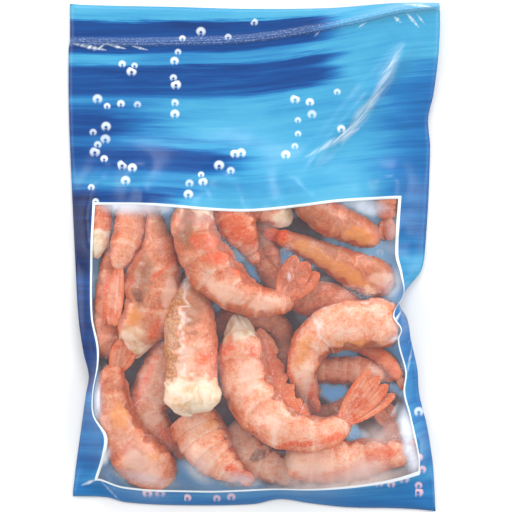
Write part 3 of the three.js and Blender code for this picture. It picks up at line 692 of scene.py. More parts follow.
# Fine creases of the clear film over the tails: from, to and half width.
HAIRLINES = [
    ((-62.5, -76.5), (-52.5, -67), 0.45), ((-52.5, -67), (-47, -78.5), 0.4),
    ((-64, -79.5), (-58, -87.5), 0.4), ((-58, -87.5), (-50, -89), 0.4),
    ((-30, -54), (-27, -62), 0.4), ((28, -66), (20, -84), 0.4), ((46, 21), (58, 12), 0.4),
    ((2, -20), (6, -28), 0.45),
]


def print_colour(m, film):
    """The printed water: soft bands of blue with streams of bubbles."""
    x, y = m.flat()
    brush = m.noise(m.vector(x * 0.02, y * 0.5), 1.0, 5, 0.7)
    streak = m.noise(m.vector(x * 0.012, y * 0.16, 3.0), 1.0, 3, 0.6)
    cloud = m.noise(m.vector(x * 0.03, y * 0.05, 7.0), 1.0, 3, 0.5)
    level = 0.76 + (cloud - 0.5) * 0.3
    brushed = y + (brush - 0.5) * 7
    spread = x + (streak - 0.5) * 50
    for left, right, low, high, lightness, soft in FIELDS:
        side = spread if -70 < right < 70 else x
        edge = 4 if right < -70 else soft + 10
        inside = side.box(left, right, edge) * brushed.box(low, high, soft)
        level = level + (lightness - level) * inside
    level = level + (brush - 0.5) * 0.4 + (streak - 0.5) * 0.4
    stops = [(0.0, film.deep), (0.27, film.dark), (0.5, film.mid)]
    stops += [(0.74, film.bright), (1.0, film.pale)]
    foam = m.mix(y.step(-84, -108), film.white, srgb(238, 196, 208))
    return m.mix(bubbles(m), m.ramp(level, stops), foam)


def bubbles(m):
    """A mask of open rings, only where a stream passes the middle of each."""
    x, y = m.real()
    settings = dict(voronoi_dimensions="2D", feature="F1")
    values = dict(Vector=m.vector(x, y), Scale=1 / BUBBLE_CELL, Randomness=0.75)
    cells = m.node("ShaderNodeTexVoronoi", settings, values)
    centre_x, centre_y, _ = m.split(m.out(cells, 2))
    draw, size, bright = m.split(m.out(cells, 1))
    fullness = None
    for *ends, width, full in STREAMS:
        _, off_x, off_y = beside(centre_x, centre_y, ends, Expression.clamped)
        near = (off_x * off_x + off_y * off_y).step(width * width, width * width * 0.3) * full
        fullness = near if fullness is None else fullness.most(near)
    radius = 1.75 + size * 1.15
    across, up = (x - centre_x) / radius, (y - centre_y) / radius
    disc = (across * across + up * up) ** 0.5
    hollow = (across * across + (up + 0.12) * (up + 0.12)) ** 0.5
    mouth = across.abs().step(0.12, 0.42).most(up.step(-0.62, -0.30))
    ring = disc.step(1.1, 0.66) * hollow.step(0.12, 0.46) * mouth * up.step(-1.5, 0.3)
    return ring * (draw < fullness) * (0.55 + bright * 0.4)


def window_distance(m, x, y):
    """How far outside the window's border a place is on the flat print."""
    left, right, bottom, top = NOMINAL_X[1], NOMINAL_X[2], NOMINAL_Y[1], NOMINAL_Y[2]
    out_x = (x * -1 + left).most(x - right)
    out_y = (y * -1 + bottom).most(y - top)
    return out_x.most(out_y)


def printed_material(film, name, side):
    """Printed film seen from its front, its back or its inside."""
    m = Material(name, Roughness=0.36, Specular_IOR_Level=0.35)
    ink = print_colour(m, film)
    if side == "inside":
        ink = m.mix(0.82, ink, film.inside)
        ink = m.mix(bubbles(m) * 0.6, ink, film.white)
        # Painted shade: the back film turns a mottled dark brown close round the tails and in the
        # shaded gaps.
        shade_mottle = m.noise(m.place(), 90, 4, 0.6).step(0.25, 0.65)
        ink = m.mix(m.attribute("stain") * (0.72 + shade_mottle * 0.25), ink, srgb(116, 62, 46))
        m.set(Roughness=0.5)
    if side == "front":
        x, y = m.flat()
        # The welded zip: a paler band with a painted sparkle of glints on it.
        welded = (y - ZIP_MIDDLE).abs().step(ZIP_WIDTH / 2 + 0.6, ZIP_WIDTH / 2 - 0.7)
        sparkle = m.noise(m.vector(x * 0.8, y * 1.2), 1.0, 4, 0.85)
        ink = m.mix(welded * (0.1 + sparkle.step(0.50, 0.62) * 0.5), ink, srgb(170, 192, 230))
        # Painted highlights: each glint is a white stroke, streaky along the big fold.
        real_x, real_y = m.real()
        along, across = real_x * 0.65 + real_y * 0.76, real_x * 0.76 - real_y * 0.65
        wisp = m.noise(m.vector(along * 0.07, across * 0.9), 1.0, 4, 0.6)
        for *ends, width, strength in GLINTS:
            glint = m.stroke(real_x, real_y, ends, width)
            glint = glint * (0.3 + wisp.step(0.38, 0.62) * 0.7) * strength
            ink = m.mix(glint, ink, film.white)
        edge = window_distance(m, x, y)
        ink = m.mix(edge.step(film.border / MM + 0.15, film.border / MM - 0.15), ink, film.white)
        m.set(Roughness=0.34 + welded * 0.16)
    m.set(Base_Color=ink, Normal=m.bump(m.noise(m.place(), 700, 3, 0.6), 0.1, 0.0002))
    return m.material


def window_material(film):
    """Clear film: what lies behind it, a gloss over it, haze where frost clings to it and painted
    glare along its creases and edges.
    """
    m = Material("clear_film", Roughness=0.3, Specular_IOR_Level=0.3)
    gap, cloud = m.attribute("gap"), m.noise(m.place(), 60, 4, 0.6)
    bare = m.attribute("open")
    haze = film.haze + gap * (cloud * 0.05 + bare * (film.haze_far - film.haze))
    # Partly frost haze and partly painted glare; the mark along the fold crests is a painted
    # highlight.
    haze = haze + m.attribute("haze") * cloud.step(0.05, 0.6) * 0.7 + m.attribute("crease_highlight") * 0.3
    x, y = m.real()
    line = None
    for *ends, width in HAIRLINES:
        stroke = m.stroke(x, y, ends, width)
        line = stroke if line is None else line.most(stroke)
    empty = gap * bare * m.attribute("haze").step(0.4, 0.0)
    veil = m.mix(empty, srgb(226, 232, 246), srgb(132, 186, 246))
    m.set(Base_Color=m.mix(m.attribute("blush"), veil, srgb(236, 192, 174)))
    wrinkle = m.bump(m.noise(m.place(), 190, 3, 0.5), 0.3, 0.0006)
    values = dict(Color=(1, 1, 1), Roughness=0.14, Normal=wrinkle)
    gloss = m.node("ShaderNodeBsdfGlossy", {}, values)
    clear = m.node("ShaderNodeBsdfTransparent", {}, [])
    shine = m.out(m.node("ShaderNodeFresnel", {}, dict(IOR=1.45))) * 0.45
    glazed = m.node("ShaderNodeMixShader", {}, [shine, m.out(clear), m.out(gloss)])
    whole = (haze + line * 0.2).clamped()
    film_shader = m.out(m.node("ShaderNodeMixShader", {}, [whole, m.out(glazed), m.out(m.shader)]))
    m.feed(m.tree.nodes["Material Output"].inputs["Surface"], film_shader)
    return m.material


# ---------------------------------------------------------------- the shrimp's finishes


def translucent(name, depth, specular):
    """A material that lets some light in, redder the deeper it goes."""
    light = dict(Subsurface_Radius=(1.0, 0.4, 0.25), Subsurface_Scale=0.002)
    return Material(name, Subsurface_Weight=depth, Specular_IOR_Level=specular, **light)


def shell_material(colours):
    """Raw shell: mottled from rust to pink, with plates, frost, bare meat and golden belly."""
    m = translucent("raw_shell", 0.1, 0.3)
    place = m.place()
    at = {name: m.attribute(name) for name in (*SHELL_MARKS, *PATCHES)}
    fibre = m.noise(m.vector(at["run"] * 0.09, at["round"] * 0.8), 1.0, 5, 0.65, 0.3)
    cloud = m.noise(place, 75, 4, 0.6, 0.6)
    blotch = m.noise(place, 210, 6, 0.7, 1.0)
    grain = m.noise(place, 800, 4, 0.7)
    fleck = m.noise(place, 330, 4, 0.65, 0.4)
    tone = cloud * 0.4 + blotch * 0.45 + fibre * 0.15 + (grain - 0.5) * 0.3 + at["plate"]
    tone = tone + at["frost"] * 0.1 - at["brown"] * 0.1
    # Painted light and shade: darker towards the flanks, paler on each plate's crest and darker at
    # its rear edge.
    tone = tone - at["side"] * 0.17 + at["lip_highlight"] * 0.16 - at["seam"] * 0.12
    stops = [(0.33, colours.rust), (0.43, colours.salmon)]
    stops += [(0.51, colours.peach), (0.63, colours.pink)]
    ink = m.ramp(tone, stops)
    dull = m.noise(place, 130, 5, 0.65, 0.5).step(0.30, 0.66)
    ink = m.mix((at["brown"] * (0.3 + dull * 0.6) + at["dull"] * 0.6).clamped(), ink, colours.brown)
    ember = (fleck * 0.5 + blotch * 0.5).step(0.47, 0.62) * at["orange"]
    burn = at["red"] * (0.5 + fleck.step(0.34, 0.60) * 0.5)
    fiery = m.mix(grain.step(0.35, 0.7), colours.orange, colours.salmon)
    ink = m.mix((ember * 0.9 + burn).clamped(), ink, fiery)
    golden = m.mix(fibre.step(0.34, 0.70) * 0.55, colours.gold, colours.rust)
    golden = m.mix(fibre.step(0.54, 0.78) * 0.5, golden, colours.meat)
    ink = m.mix(at["gold"] * 0.75, ink, golden)
    ink = m.mix(at["dark"] * blotch.step(0.25, 0.55) * 0.8, ink, colours.shade)
    under = m.mix(fibre.step(0.35, 0.6), colours.brown, colours.rust)
    tan = m.mix(grain.step(0.42, 0.62), srgb(176, 104, 52), srgb(222, 156, 92))
    ink = m.mix(at["belly"], ink, m.mix(at["tan"], under, tan))
    ink = m.mix(at["ember"] * 0.95, ink, m.mix(fleck.step(0.38, 0.62), colours.ember, colours.glow))
    ink = m.mix((at["pale"] * (0.3 + cloud * 0.5)).clamped(), ink, colours.pink)
    drift = m.noise(place, 120, 5, 0.7).step(0.46, 0.72) * 0.55
    speck = m.noise(place, 1100, 2, 0.6).step(0.62, 0.68) * 0.8
    ink = m.mix(((drift + speck) * at["frost"]).clamped(), ink, colours.frost)
    ink = m.mix(at["rim"] * 0.8, ink, colours.frost)
    hollow = m.noise(place, 120, 5, 0.65, 0.8).step(0.46, 0.66)
    flesh = m.mix(cloud.step(0.45, 0.65) * 0.5, colours.meat, colours.pink)
    flesh = m.mix(hollow * 0.75, flesh, colours.straw)
    ink = m.mix((at["meat"] + at["cream"] * 0.8).clamped(), ink, flesh)
    relief = m.bump(blotch * 0.5 + grain * 0.35 + fibre * 0.3, 0.5, 0.0008)
    roughness = 0.46 - at["glaze"] * 0.1 + at["meat"] * 0.06
    m.set(Base_Color=ink, Roughness=roughness, Coat_Weight=0.25, Coat_Roughness=0.22, Normal=relief)
    return m.material


def fan_material(colours):
    """Thin shell of the fans and skirts: ribbed, paler along the middle of each blade."""
    m = translucent("fan_shell", 0.12, 0.35)
    place = m.place()
    rib, brown, leg = m.attribute("rib"), m.attribute("brown"), m.attribute("leg")
    tone = m.noise(place, 190, 5, 0.65, 0.6)
    grain = m.noise(place, 900, 3, 0.7)
    ink = m.mix((tone + (grain - 0.5) * 0.5).step(0.35, 0.62), colours.fan, srgb(245, 144, 94))
    ink = m.mix(m.attribute("core") * tone.step(0.3, 0.6) * 0.6, ink, colours.pink)
    ink = m.mix(rib * 0.55, ink, colours.rust)
    ink = m.mix((brown * 0.55 + leg * 0.4).clamped(), ink, colours.brown)
    ruddy = m.mix(tone.step(0.4, 0.6), colours.shade, colours.orange)
    ink = m.mix(m.attribute("ruddy") * 0.7, ink, ruddy)
    ink = m.mix(m.attribute("glow"), ink, m.mix(tone.step(0.38, 0.62), colours.ember, colours.glow))
    speck = m.noise(place, 1100, 2, 0.6).step(0.62, 0.68)
    ink = m.mix((speck * (0.2 + m.attribute("frost") * 0.6)).clamped(), ink, colours.frost)
    relief = m.bump(rib + tone * 0.4, 0.4, 0.0007)
    m.set(Base_Color=ink, Roughness=0.42 + tone * 0.12, Normal=relief)
    return m.material


# ---------------------------------------------------------------- the shrimp's forms
BODY_SEGMENTS, BODY_RINGS = 64, 150
BLADE_SEGMENTS, BLADE_RINGS = 24, 20
BLADE_HALF_THICK, BLADE_RIBS, BLADE_CURL = 1.1, 5, 0.02
SKIRT_SEGMENTS, SKIRT_RINGS = 20, 110
SPINE_STEPS = 64
SETTLE_PASSES = 12  # how often a spine's heights are evened out
NECK_END, REAR_END = -0.055, 1.045  # where the body ends, as shares of its middle line
POINT_FROM, POINT_LENGTH = 0.97, 0.075  # where the rear end begins to round off, and over how much
FAN_ROOT = 0.95
SHELL_LEAN = 0.028  # how far the plates' edges lean back on the flanks
TOOTH = 7.5  # millimetres between the legs in a skirt
PLUMB = Vector((0, 0, -1))


def under_plumb(tree, x, y):
    """Where a plumb line at a place in millimetres meets a mesh, or None."""
    return tree.ray_cast(Vector((x * MM, y * MM, 1)), PLUMB)[0]


def ellipse(x, y, across, along, spot):
    """1 in the middle of a turned ellipse and 0 outside it, at millimetre places."""
    centre_x, centre_y, half_length, half_width, turn = spot
    c, s = math.cos(math.radians(turn)), math.sin(math.radians(turn))
    u, v = (x - centre_x) * c + (y - centre_y) * s, (y - centre_y) * c - (x - centre_x) * s
    off = np.hypot(u / half_length, v / half_width) + across
    return smooth((1.15 - off) / along)


class Spine:
    """A tail's middle line, laid where its solid lies, with its directions."""

    def __init__(self, row, node):
        line, self.belly, self.fan, _ = row
        stations = np.array(line, float)
        gaps = np.hypot(*np.diff(stations[:, :2], axis=0).T)
        self.reach = gaps.sum()
        shares = np.concatenate([[0], np.cumsum(gaps)]) / self.reach
        self.s = np.arange(SPINE_STEPS + 1) / SPINE_STEPS
        x_at, y_at, self.half_at = [through(list(zip(shares, stations[:, k]))) for k in range(3)]
        xs, ys = x_at(self.s), y_at(self.s)
        self.points = np.stack([xs, ys, self.rest(node, xs, ys)], 1)

    def half(self, s):
        return self.half_at(np.clip(s, 0, 1))

    def rest(self, node, xs, ys):
        """Its height, from where the solid's top is under a plumb line."""
        mesh = frame["nodes"][node].data
        corners = [vertex.co for vertex in mesh.vertices]
        tree = BVHTree.FromPolygons(corners, [face.vertices for face in mesh.polygons])
        hits = [under_plumb(tree, x, y) for x, y in zip(xs, ys)]
        known = [k for k, hit in enumerate(hits) if hit is not None]
        tops = [hits[k].z / MM - self.half(self.s[k]) * FLATNESS for k in known]
        heights = np.interp(np.arange(len(xs)), known, tops)
        for _ in range(SETTLE_PASSES):
            heights[1:-1] = (heights[:-2] + 2 * heights[1:-1] + heights[2:]) / 4
        return heights

    def at(self, s):
        """Point, tangent, back and up at shares s, carried on straight past the ends."""
        s = np.asarray(s, float)
        inner = np.clip(s, 0, 1)
        point = np.stack([np.interp(inner, self.s, self.points[:, k]) for k in range(3)], -1)
        slopes = np.gradient(self.points, self.s, axis=0)
        tangent = np.stack([np.interp(inner, self.s, slopes[:, k]) for k in range(3)], -1)
        tangent /= np.linalg.norm(tangent, axis=-1, keepdims=True)
        point = point + tangent * ((s - inner) * self.reach)[..., None]
        back = np.stack([tangent[..., 1], -tangent[..., 0], 0 * tangent[..., 2]], -1) * self.belly
        back /= np.linalg.norm(back, axis=-1, keepdims=True)
        up = np.cross(back, tangent) * self.belly
        return point, tangent, back, up


def saw(s, theta):
    """How far each shell plate stands out, its rear edge where a shadow is painted, the pale line
    on its crest before that (a painted highlight, partly the shell's pale margin), and the share
    of the way along it."""
    lean = SHELL_LEAN * np.sin(theta) ** 2
    place = (s + lean - 0.05) / 0.95 * PLATES
    f = place - np.floor(place)
    rise = np.where(f < 0.9, f / 0.9, (1 - f) / 0.1)
    inside = smooth((s - 0.02) / 0.03) * smooth((1.02 - s) / 0.03)
    edge = np.exp(-(((f - 0.96) / 0.035) ** 2)) * inside
    lip_highlight = np.exp(-(((f - 0.84) / 0.07) ** 2)) * inside
    return (2 * rise**0.8 - 1) * STEP * inside, edge, lip_highlight, f


def rounded(beyond, length):
    """The share of the depth that a round end leaves, so far beyond where it begins."""
    return np.sqrt(np.clip(1 - (np.clip(beyond, 0, 1) / length) ** 2, 0, 1))


def tail_body(name, spine, looks, seed):
    """The body: one ball drawn out along the spine, with plates, bare meat and belly."""
    piece, t, x, y = ball(name, BODY_SEGMENTS, BODY_RINGS)
    theta = np.arctan2(y, x)
    start = looks.get("start", NECK_END)
    s = start + (REAR_END - start) * t
    angle = np.degrees(np.abs(theta))
    half = spine.half(s)
    ring = np.stack([s * spine.reach, np.cos(theta) * half * 0.8, np.sin(theta) * half * 0.8], -1)
    ragged, lumps = waves(ring, 5, seed), waves(ring, 17, seed + 1)
    knobs = waves(ring, 12, seed + 2)
    fine, wrinkle = waves(ring, 3.2, seed + 3), waves(ring * [0.25, 1, 1], 5, seed + 4)
    dents = waves(ring, 8, seed + 6)
    marks = dict.fromkeys(("meat", "belly", "glaze", "seam", "lip_highlight", "side", "rim", *PATCHES), 0.0)
    meat_end = looks.get("meat", -0.2) + 0.03 * ragged
    meat = marks["meat"] = smooth((meat_end - s) / 0.045)
    marks["run"], marks["round"] = s * spine.reach, theta * half
    marks["tan"] = looks.get("tan", 0.0)
    step, edge, lip_highlight, along = saw(s, theta)
    plates = looks.get("plates", 0.3)
    shell_edge = looks.get("shell", 138) + 6 * ragged - 9 * np.cos(2 * math.pi * along)
    belly = marks["belly"] = smooth((angle - shell_edge) / 6) * (1 - meat)
    # Painted shade: the body is darker towards its flanks, where it turns away from the light
    # above.
    marks["side"] = np.abs(np.cos(theta)) ** 3
    glaze = np.zeros_like(s)
    if "glaze" in looks:
        near, far, first, last = looks["glaze"]
        around = np.degrees(theta) + 360 * (np.degrees(theta) < -90)
        inset = np.minimum.reduce([
            (s - near) * spine.reach, (far - s) * spine.reach,
            np.radians(around - first) * half, np.radians(last - around) * half,
        ]) + 1.6 * ragged + 0.8 * fine
        glaze = marks["glaze"] = smooth(inset / 0.7)
        marks["rim"] = np.exp(-((inset / 0.8) ** 2)) * (1 - meat)
    broken = smooth(0.6 + 0.9 * waves(ring, 12, seed + 5))
    bare = (1 - meat) * (1 - belly) * (1 - 0.7 * glaze)
    # Painted shadow at each plate's rear edge, and a painted highlight on its crest, partly the
    # shell's pale margin.
    marks["seam"], marks["lip_highlight"] = edge * bare * broken * plates, lip_highlight * bare * broken * plates
    marks["plate"] = 0.14 * (along - 0.5) * bare * plates
    taper = 1 - looks.get("neck", 0) * smooth((0.13 - s) / 0.18)
    share = taper + step * (1 - 0.5 * glaze) + 0.06 * lumps + 0.012 * fine + 0.014 * wrinkle
    crumbs = meat * (-0.05 + 0.07 * knobs + 0.015 * ragged)
    share += crumbs - 0.06 * belly + 0.05 * glaze + 0.025 * dents
    wide, rear = looks.get("wide", 1) - 1, looks.get("rear", 1) - 1
    share *= 1 + wide * smooth(1.1 - s) + rear * smooth((s - 0.2) / 0.5)
    rounding = looks.get("round", 0.1)
    round_from = looks.get("glaze", [start])[0]  # the ice squares off the neck that it covers
    half = half * share * rounded(round_from + rounding - s, rounding)
    half = half * rounded(s - POINT_FROM, POINT_LENGTH)
    point, tangent, back, up = spine.at(s)
    across = np.cos(theta)
    lift = np.sin(theta) * half * FLATNESS
    points = point + back * (across * half)[:, None] + up * lift[:, None]
    end_lumps = smooth((0.12 - s) / 0.16) * (0.5 + 0.5 * meat) * (1.2 * knobs + 0.4 * ragged - 1)
    points -= tangent * (end_lumps * spine.half(0.0) / 8)[:, None]
    for kind, *spot in looks.get("patches", []):
        cover = ellipse(points[:, 0], points[:, 1], 0.22 * ragged + 0.12 * fine, 0.5, spot)
        marks[kind] = np.maximum(marks[kind], cover)
    mark(shape(piece, points), **marks)
    return face_out(piece)


def fan_blade(name, root, along, across, reach, half_width):
    """A thin blade: narrow at its root, round at its tip and ribbed along its length."""
    piece, t, side, face = flat_ball(name, BLADE_SEGMENTS, BLADE_RINGS)
    width = half_width * np.sin(math.pi * np.clip(t, 0, 1) ** 0.8) ** 0.6 * (0.5 + 0.5 * t)
    thick = BLADE_HALF_THICK * np.sin(math.pi * t) ** 0.5 * (1.1 - 0.5 * t)
    rib = np.cos(side * BLADE_RIBS * math.pi)
    lift = face * thick * (1 + 0.25 * rib) + BLADE_CURL * reach * t**2
    points = root + np.outer(t * reach, along) + np.outer(side * width, across)
    shape(piece, points + np.outer(lift, np.cross(along, across)))
    core = (1 - np.abs(side)) * smooth(t * 3) * smooth((1 - t) * 3)
    mark(piece, rib=np.clip(-rib, 0, 1) * smooth(t * 6), core=core)
    return face_out(piece)


def turned(vector, degrees):
    c, s = math.cos(math.radians(degrees)), math.sin(math.radians(degrees))
    return np.array([vector[0] * c - vector[1] * s, vector[0] * s + vector[1] * c, vector[2]])


def tail_fan(name, spine, broad):
    blades, spread, reach, bend = spine.fan
    point, tangent, _, _ = spine.at(FAN_ROOT)
    half = float(spine.half(1.0))
    made = []
    for k in range(blades):
        offset = k / (blades - 1) - 0.5 if blades > 1 else 0
        along = turned(tangent * [1, 1, 0], offset * spread + spine.belly * bend)
        along /= np.linalg.norm(along)
        across = np.array([-along[1], along[0], 0])
        root = point + np.array([0, 0, offset * half * 0.5])
        tilt = across * math.cos(offset) + np.array([0, 0, math.sin(offset)])
        length = reach + (1 - FAN_ROOT) * spine.reach
        made.append(fan_blade(f"{name}_blade_{k}", root, along, tilt, length, half * broad))
    return made


def tail_skirt(name, spine, first, last, width, side, seed):
    """The ragged edge of legs and shell that hangs out on one side."""
    piece, t, out, face = flat_ball(name, SKIRT_SEGMENTS, SKIRT_RINGS)
    s = first + (last - first) * t - 0.02 * out
    run = s * spine.reach
    tooth = run / TOOTH + 0.3 * waves(run[:, None], 13, seed)
    tooth = tooth - np.floor(tooth)
    notch = np.exp(-(((tooth - 0.5) / 0.5) ** 4))
    ragged = 0.78 + 0.08 * notch + 0.14 * waves(run[:, None], 12, seed + 1)
    ragged = ragged + 0.03 * waves(run[:, None], 4, seed + 2)
    half = spine.half(s)
    point, tangent, back, up = spine.at(s)
    outer = np.maximum(out, 0)
    reach = np.sin(math.pi * t) ** 0.4 * (0.35 * half + outer * (width * ragged - 0.35 * half))
    thick = 0.9 * np.sin(math.pi * t) ** 0.5 * (1.2 - 0.6 * out)
    points = point - side * back * (0.75 * half + out * reach)[:, None]
    points += up * (face * thick - 0.1 * half)[:, None] - np.outer(outer * 0.22 * width, [0, 0, 1])
    shape(piece, points)
    rib = np.exp(-(((tooth - 0.5) / 0.4) ** 2) * 8) * 0.6
    mark(piece, rib=rib, leg=0.55 if side > 0 else 0.0)
    return face_out(piece)


def tail(name, node, row, shell, fan, seed):
    """One raw tail that stands for its solid."""
    spine = Spine(row, node)
    looks = row[-1]
    body = tail_body(name, spine, looks, seed)
    body.data.materials.append(shell)
    thin = tail_fan(name, spine, 1.05 * looks.get("broad", 1))
    if "skirt" in looks:
        thin.append(tail_skirt(f"{name}_skirt", spine, *looks["skirt"], seed + 50))
    for piece in thin:
        piece.data.materials.append(fan)
    join([body, *thin])
    mark(body, **{key: looks.get(key, usual) for key, usual in USUAL_LOOKS.items()})
    return finish_piece(body, "shrimp_shell", node)


# ---------------------------------------------------------------- the film
SAG = 0.024  # how far the film would sink at each pass if nothing held it
RELAX_PASSES = 1500
EVEN_PASSES = 4
SEAM_THICK = 1.2
FILM_GAP = 0.35  # the least gap between the front film and the back
SHADE_SPREAD_PASSES = 10  # how far the painted shade spreads out from under the tails on the film below them


def sheet_places():
    a, b = np.meshgrid(zone_lines(CELLS_ACROSS), zone_lines(CELLS_ALONG))
    x, y = on_sheet(a, b)
    return a, b, x, y


def back_height(x, y, b):
    inside = smooth(edge_distance(x, y) / CURL)
    return (seam_height(y) - SEAM_THICK / 2) * (1 - inside) + corner_lift(x, b)


def tails_top(x, y):
    """The height of the tails under each place, or 0."""
    depsgraph = bpy.context.evaluated_depsgraph_get()
    tops = np.zeros(x.size)
    for piece in [o for o in bpy.data.objects if o.name.startswith("raw_")]:
        tree = BVHTree.FromObject(piece, depsgraph)
        corners = np.array([corner[:2] for corner in piece.bound_box]) / MM
        low, high = corners.min(0), corners.max(0)
        near = (x > low[0]) & (x < high[0]) & (y > low[1]) & (y < high[1])
        for k in np.flatnonzero(near.ravel()):
            hit = under_plumb(tree, x.flat[k], y.flat[k])
            if hit is not None:
                tops[k] = max(tops[k], hit.z / MM)
    return tops.reshape(x.shape)


def around(height):
    """The mean of the four neighbours of each inner place."""
    return (height[:-2, 1:-1] + height[2:, 1:-1] + height[1:-1, :-2] + height[1:-1, 2:]) / 4


def shaded(x, y):
    """1 in the gaps where shade is painted on the back film and 0 elsewhere."""
    ragged = 0.12 * waves(np.stack([x, y], -1), 9, 5)
    return np.maximum.reduce([ellipse(x, y, ragged, 0.4, spot) for spot in SHADES])


def front_height(film, a, b, x, y):
    """The front film: stretched from seam to seam over the tails, with its folds."""
    tops = tails_top(x, y)
    back = back_height(x, y, b)
    wide = tops.copy()
    for shift in (1, -1):
        for axis in (0, 1):
            wide = np.maximum(wide, np.roll(tops, shift, axis))
    support = np.where(wide > 0, wide + film.clearance / MM, SEAM_FLAT + 0.8)
    rim = np.ones_like(x, bool)
    rim[1:-1, 1:-1] = False
    support[rim] = (back - corner_lift(x, b))[rim] + FILM_GAP
    height = support.copy()
    for _ in range(RELAX_PASSES):
        height[1:-1, 1:-1] = np.maximum(support[1:-1, 1:-1], around(height) - SAG)
    gap = height - tops
    edge = edge_distance(x, y)
    place = np.stack([x, y], -1)
    free = smooth(edge / 8)
    ripple = 0.22 * waves(place, 26, 5) + 0.10 * waves(place * [1, 2.2], 9, 6)
    pucker = 0.5 * waves(place * [0.4, 1], 7, 7) * np.exp(-((edge / 9 - 0.7) ** 2))
    pucker *= smooth(edge / 4)
    folds = fold_height(x, y)
    height = height + folds * smooth(edge / CURL) + (ripple + pucker) * free
    for _ in range(EVEN_PASSES):
        height[1:-1, 1:-1] = 0.5 * height[1:-1, 1:-1] + 0.5 * around(height)
        height = np.maximum(height, support)
    height = height + corner_lift(x, b)
    welded = np.maximum(0, 1 - 2 * np.abs(b - ZIP_ZONE)) * smooth(edge / 3)
    ridges = 0.75 + 0.25 * np.cos((b - ZIP_ZONE) * 6 * math.pi)
    height = np.maximum(height, back + FILM_GAP) + film.zip_rise / MM * smooth(welded * 2) * ridges
    # Bare gaps get the window's blue veil, but not where shade is painted on the back film.
    clear = (tops == 0).astype(float)
    for _ in range(EVEN_PASSES):
        inner = clear[1:-1, 1:-1]
        clear[1:-1, 1:-1] = np.minimum(inner, 0.5 * inner + 0.5 * around(clear))
    return height, gap, folds, clear * (1 - shaded(x, y))


def film_piece(name, x, y, z, a, b, material):
    """A sheet through places, with the flat print as its UV map."""
    rows, columns = x.shape
    cells = dict(x_subdivisions=columns - 1, y_subdivisions=rows - 1)
    piece = added(bpy.ops.mesh.primitive_grid_add, name, size=2, **cells)
    bpy.ops.object.shade_smooth()
    shape(piece, np.stack([x, y, z], -1).reshape(-1, 3))
    flat = np.stack([between(NOMINAL_X, a), between(NOMINAL_Y, b)], -1).reshape(-1, 2)
    loops = np.zeros(len(piece.data.loops), int)
    piece.data.loops.foreach_get("vertex_index", loops)
    piece.data.uv_layers.active.data.foreach_set("uv", (flat[loops] / PRINT_SPAN + 0.5).ravel())
    piece.data.materials.append(material)
    return piece


def delete_cells(piece, cells):
    """Takes cells out of a sheet."""
    alone(piece)
    bpy.ops.object.mode_set(mode="EDIT")
    bpy.ops.mesh.select_mode(type="FACE")
    bpy.ops.mesh.select_all(action="DESELECT")
    bpy.ops.object.mode_set(mode="OBJECT")
    piece.data.polygons.foreach_set("select", cells.ravel())
    bpy.ops.object.mode_set(mode="EDIT")
    bpy.ops.mesh.delete(type="FACE")
    bpy.ops.object.mode_set(mode="OBJECT")


def window_cells():
    """Which cells of the sheet lie in the window."""
    a = (zone_lines(CELLS_ACROSS)[:-1] + zone_lines(CELLS_ACROSS)[1:]) / 2
    b = (zone_lines(CELLS_ALONG)[:-1] + zone_lines(CELLS_ALONG)[1:]) / 2
    return ((b > 1) & (b < 2))[:, None] & ((a > 1) & (a < 2))[None, :]


# ---------------------------------------------------------------- operators


class POUCH_OT_tails(bpy.types.Operator):
    """Lay the raw tails and the loose strip of shell"""

    bl_idname = "pouch.tails"
    bl_label = "Raw Tails"

    def execute(self, context):
        scene = context.scene
        shell, fan = shell_material(scene.shrimp_colours), fan_material(scene.shrimp_colours)
        number = 0
        for k, row in enumerate(TAILS):
            if row[-1].get("loose"):
                tail("raw_loose_shell", "loose_shell", row, fan, fan, 900)
                continue
            number += 1
            tail(f"raw_tail_{number:02d}", f"shrimp_{number:02d}", row, shell, fan, 10 * k + 3)
        return {"FINISHED"}


class POUCH_OT_back(bpy.types.Operator):
    """Make the printed film under the tails"""

    bl_idname = "pouch.back"
    bl_label = "Back Film"

    def execute(self, context):
        film = context.scene.pouch_film
        a, b, x, y = sheet_places()
        inside = printed_material(film, "print_inside", "inside")
        piece = film_piece("printed_back", x, y, back_height(x, y, b), a, b, inside)
        # Painted shade, spread out from under the tails and in the listed gaps.
        near = (tails_top(x, y) > 0).astype(float)
        for _ in range(SHADE_SPREAD_PASSES):
            near[1:-1, 1:-1] = around(near)
        mark(piece, stain=np.maximum(smooth((near - 0.72) / 0.25), shaded(x, y)).ravel())
        piece.data.materials.append(printed_material(film, "print_back", "back"))
        outside = dict(material_offset=1, material_offset_rim=0)
        modify(piece, "SOLIDIFY", thickness=film.thickness, offset=1, **outside)
        finish_piece(piece, "printed_film", "printed_pouch")
        return {"FINISHED"}


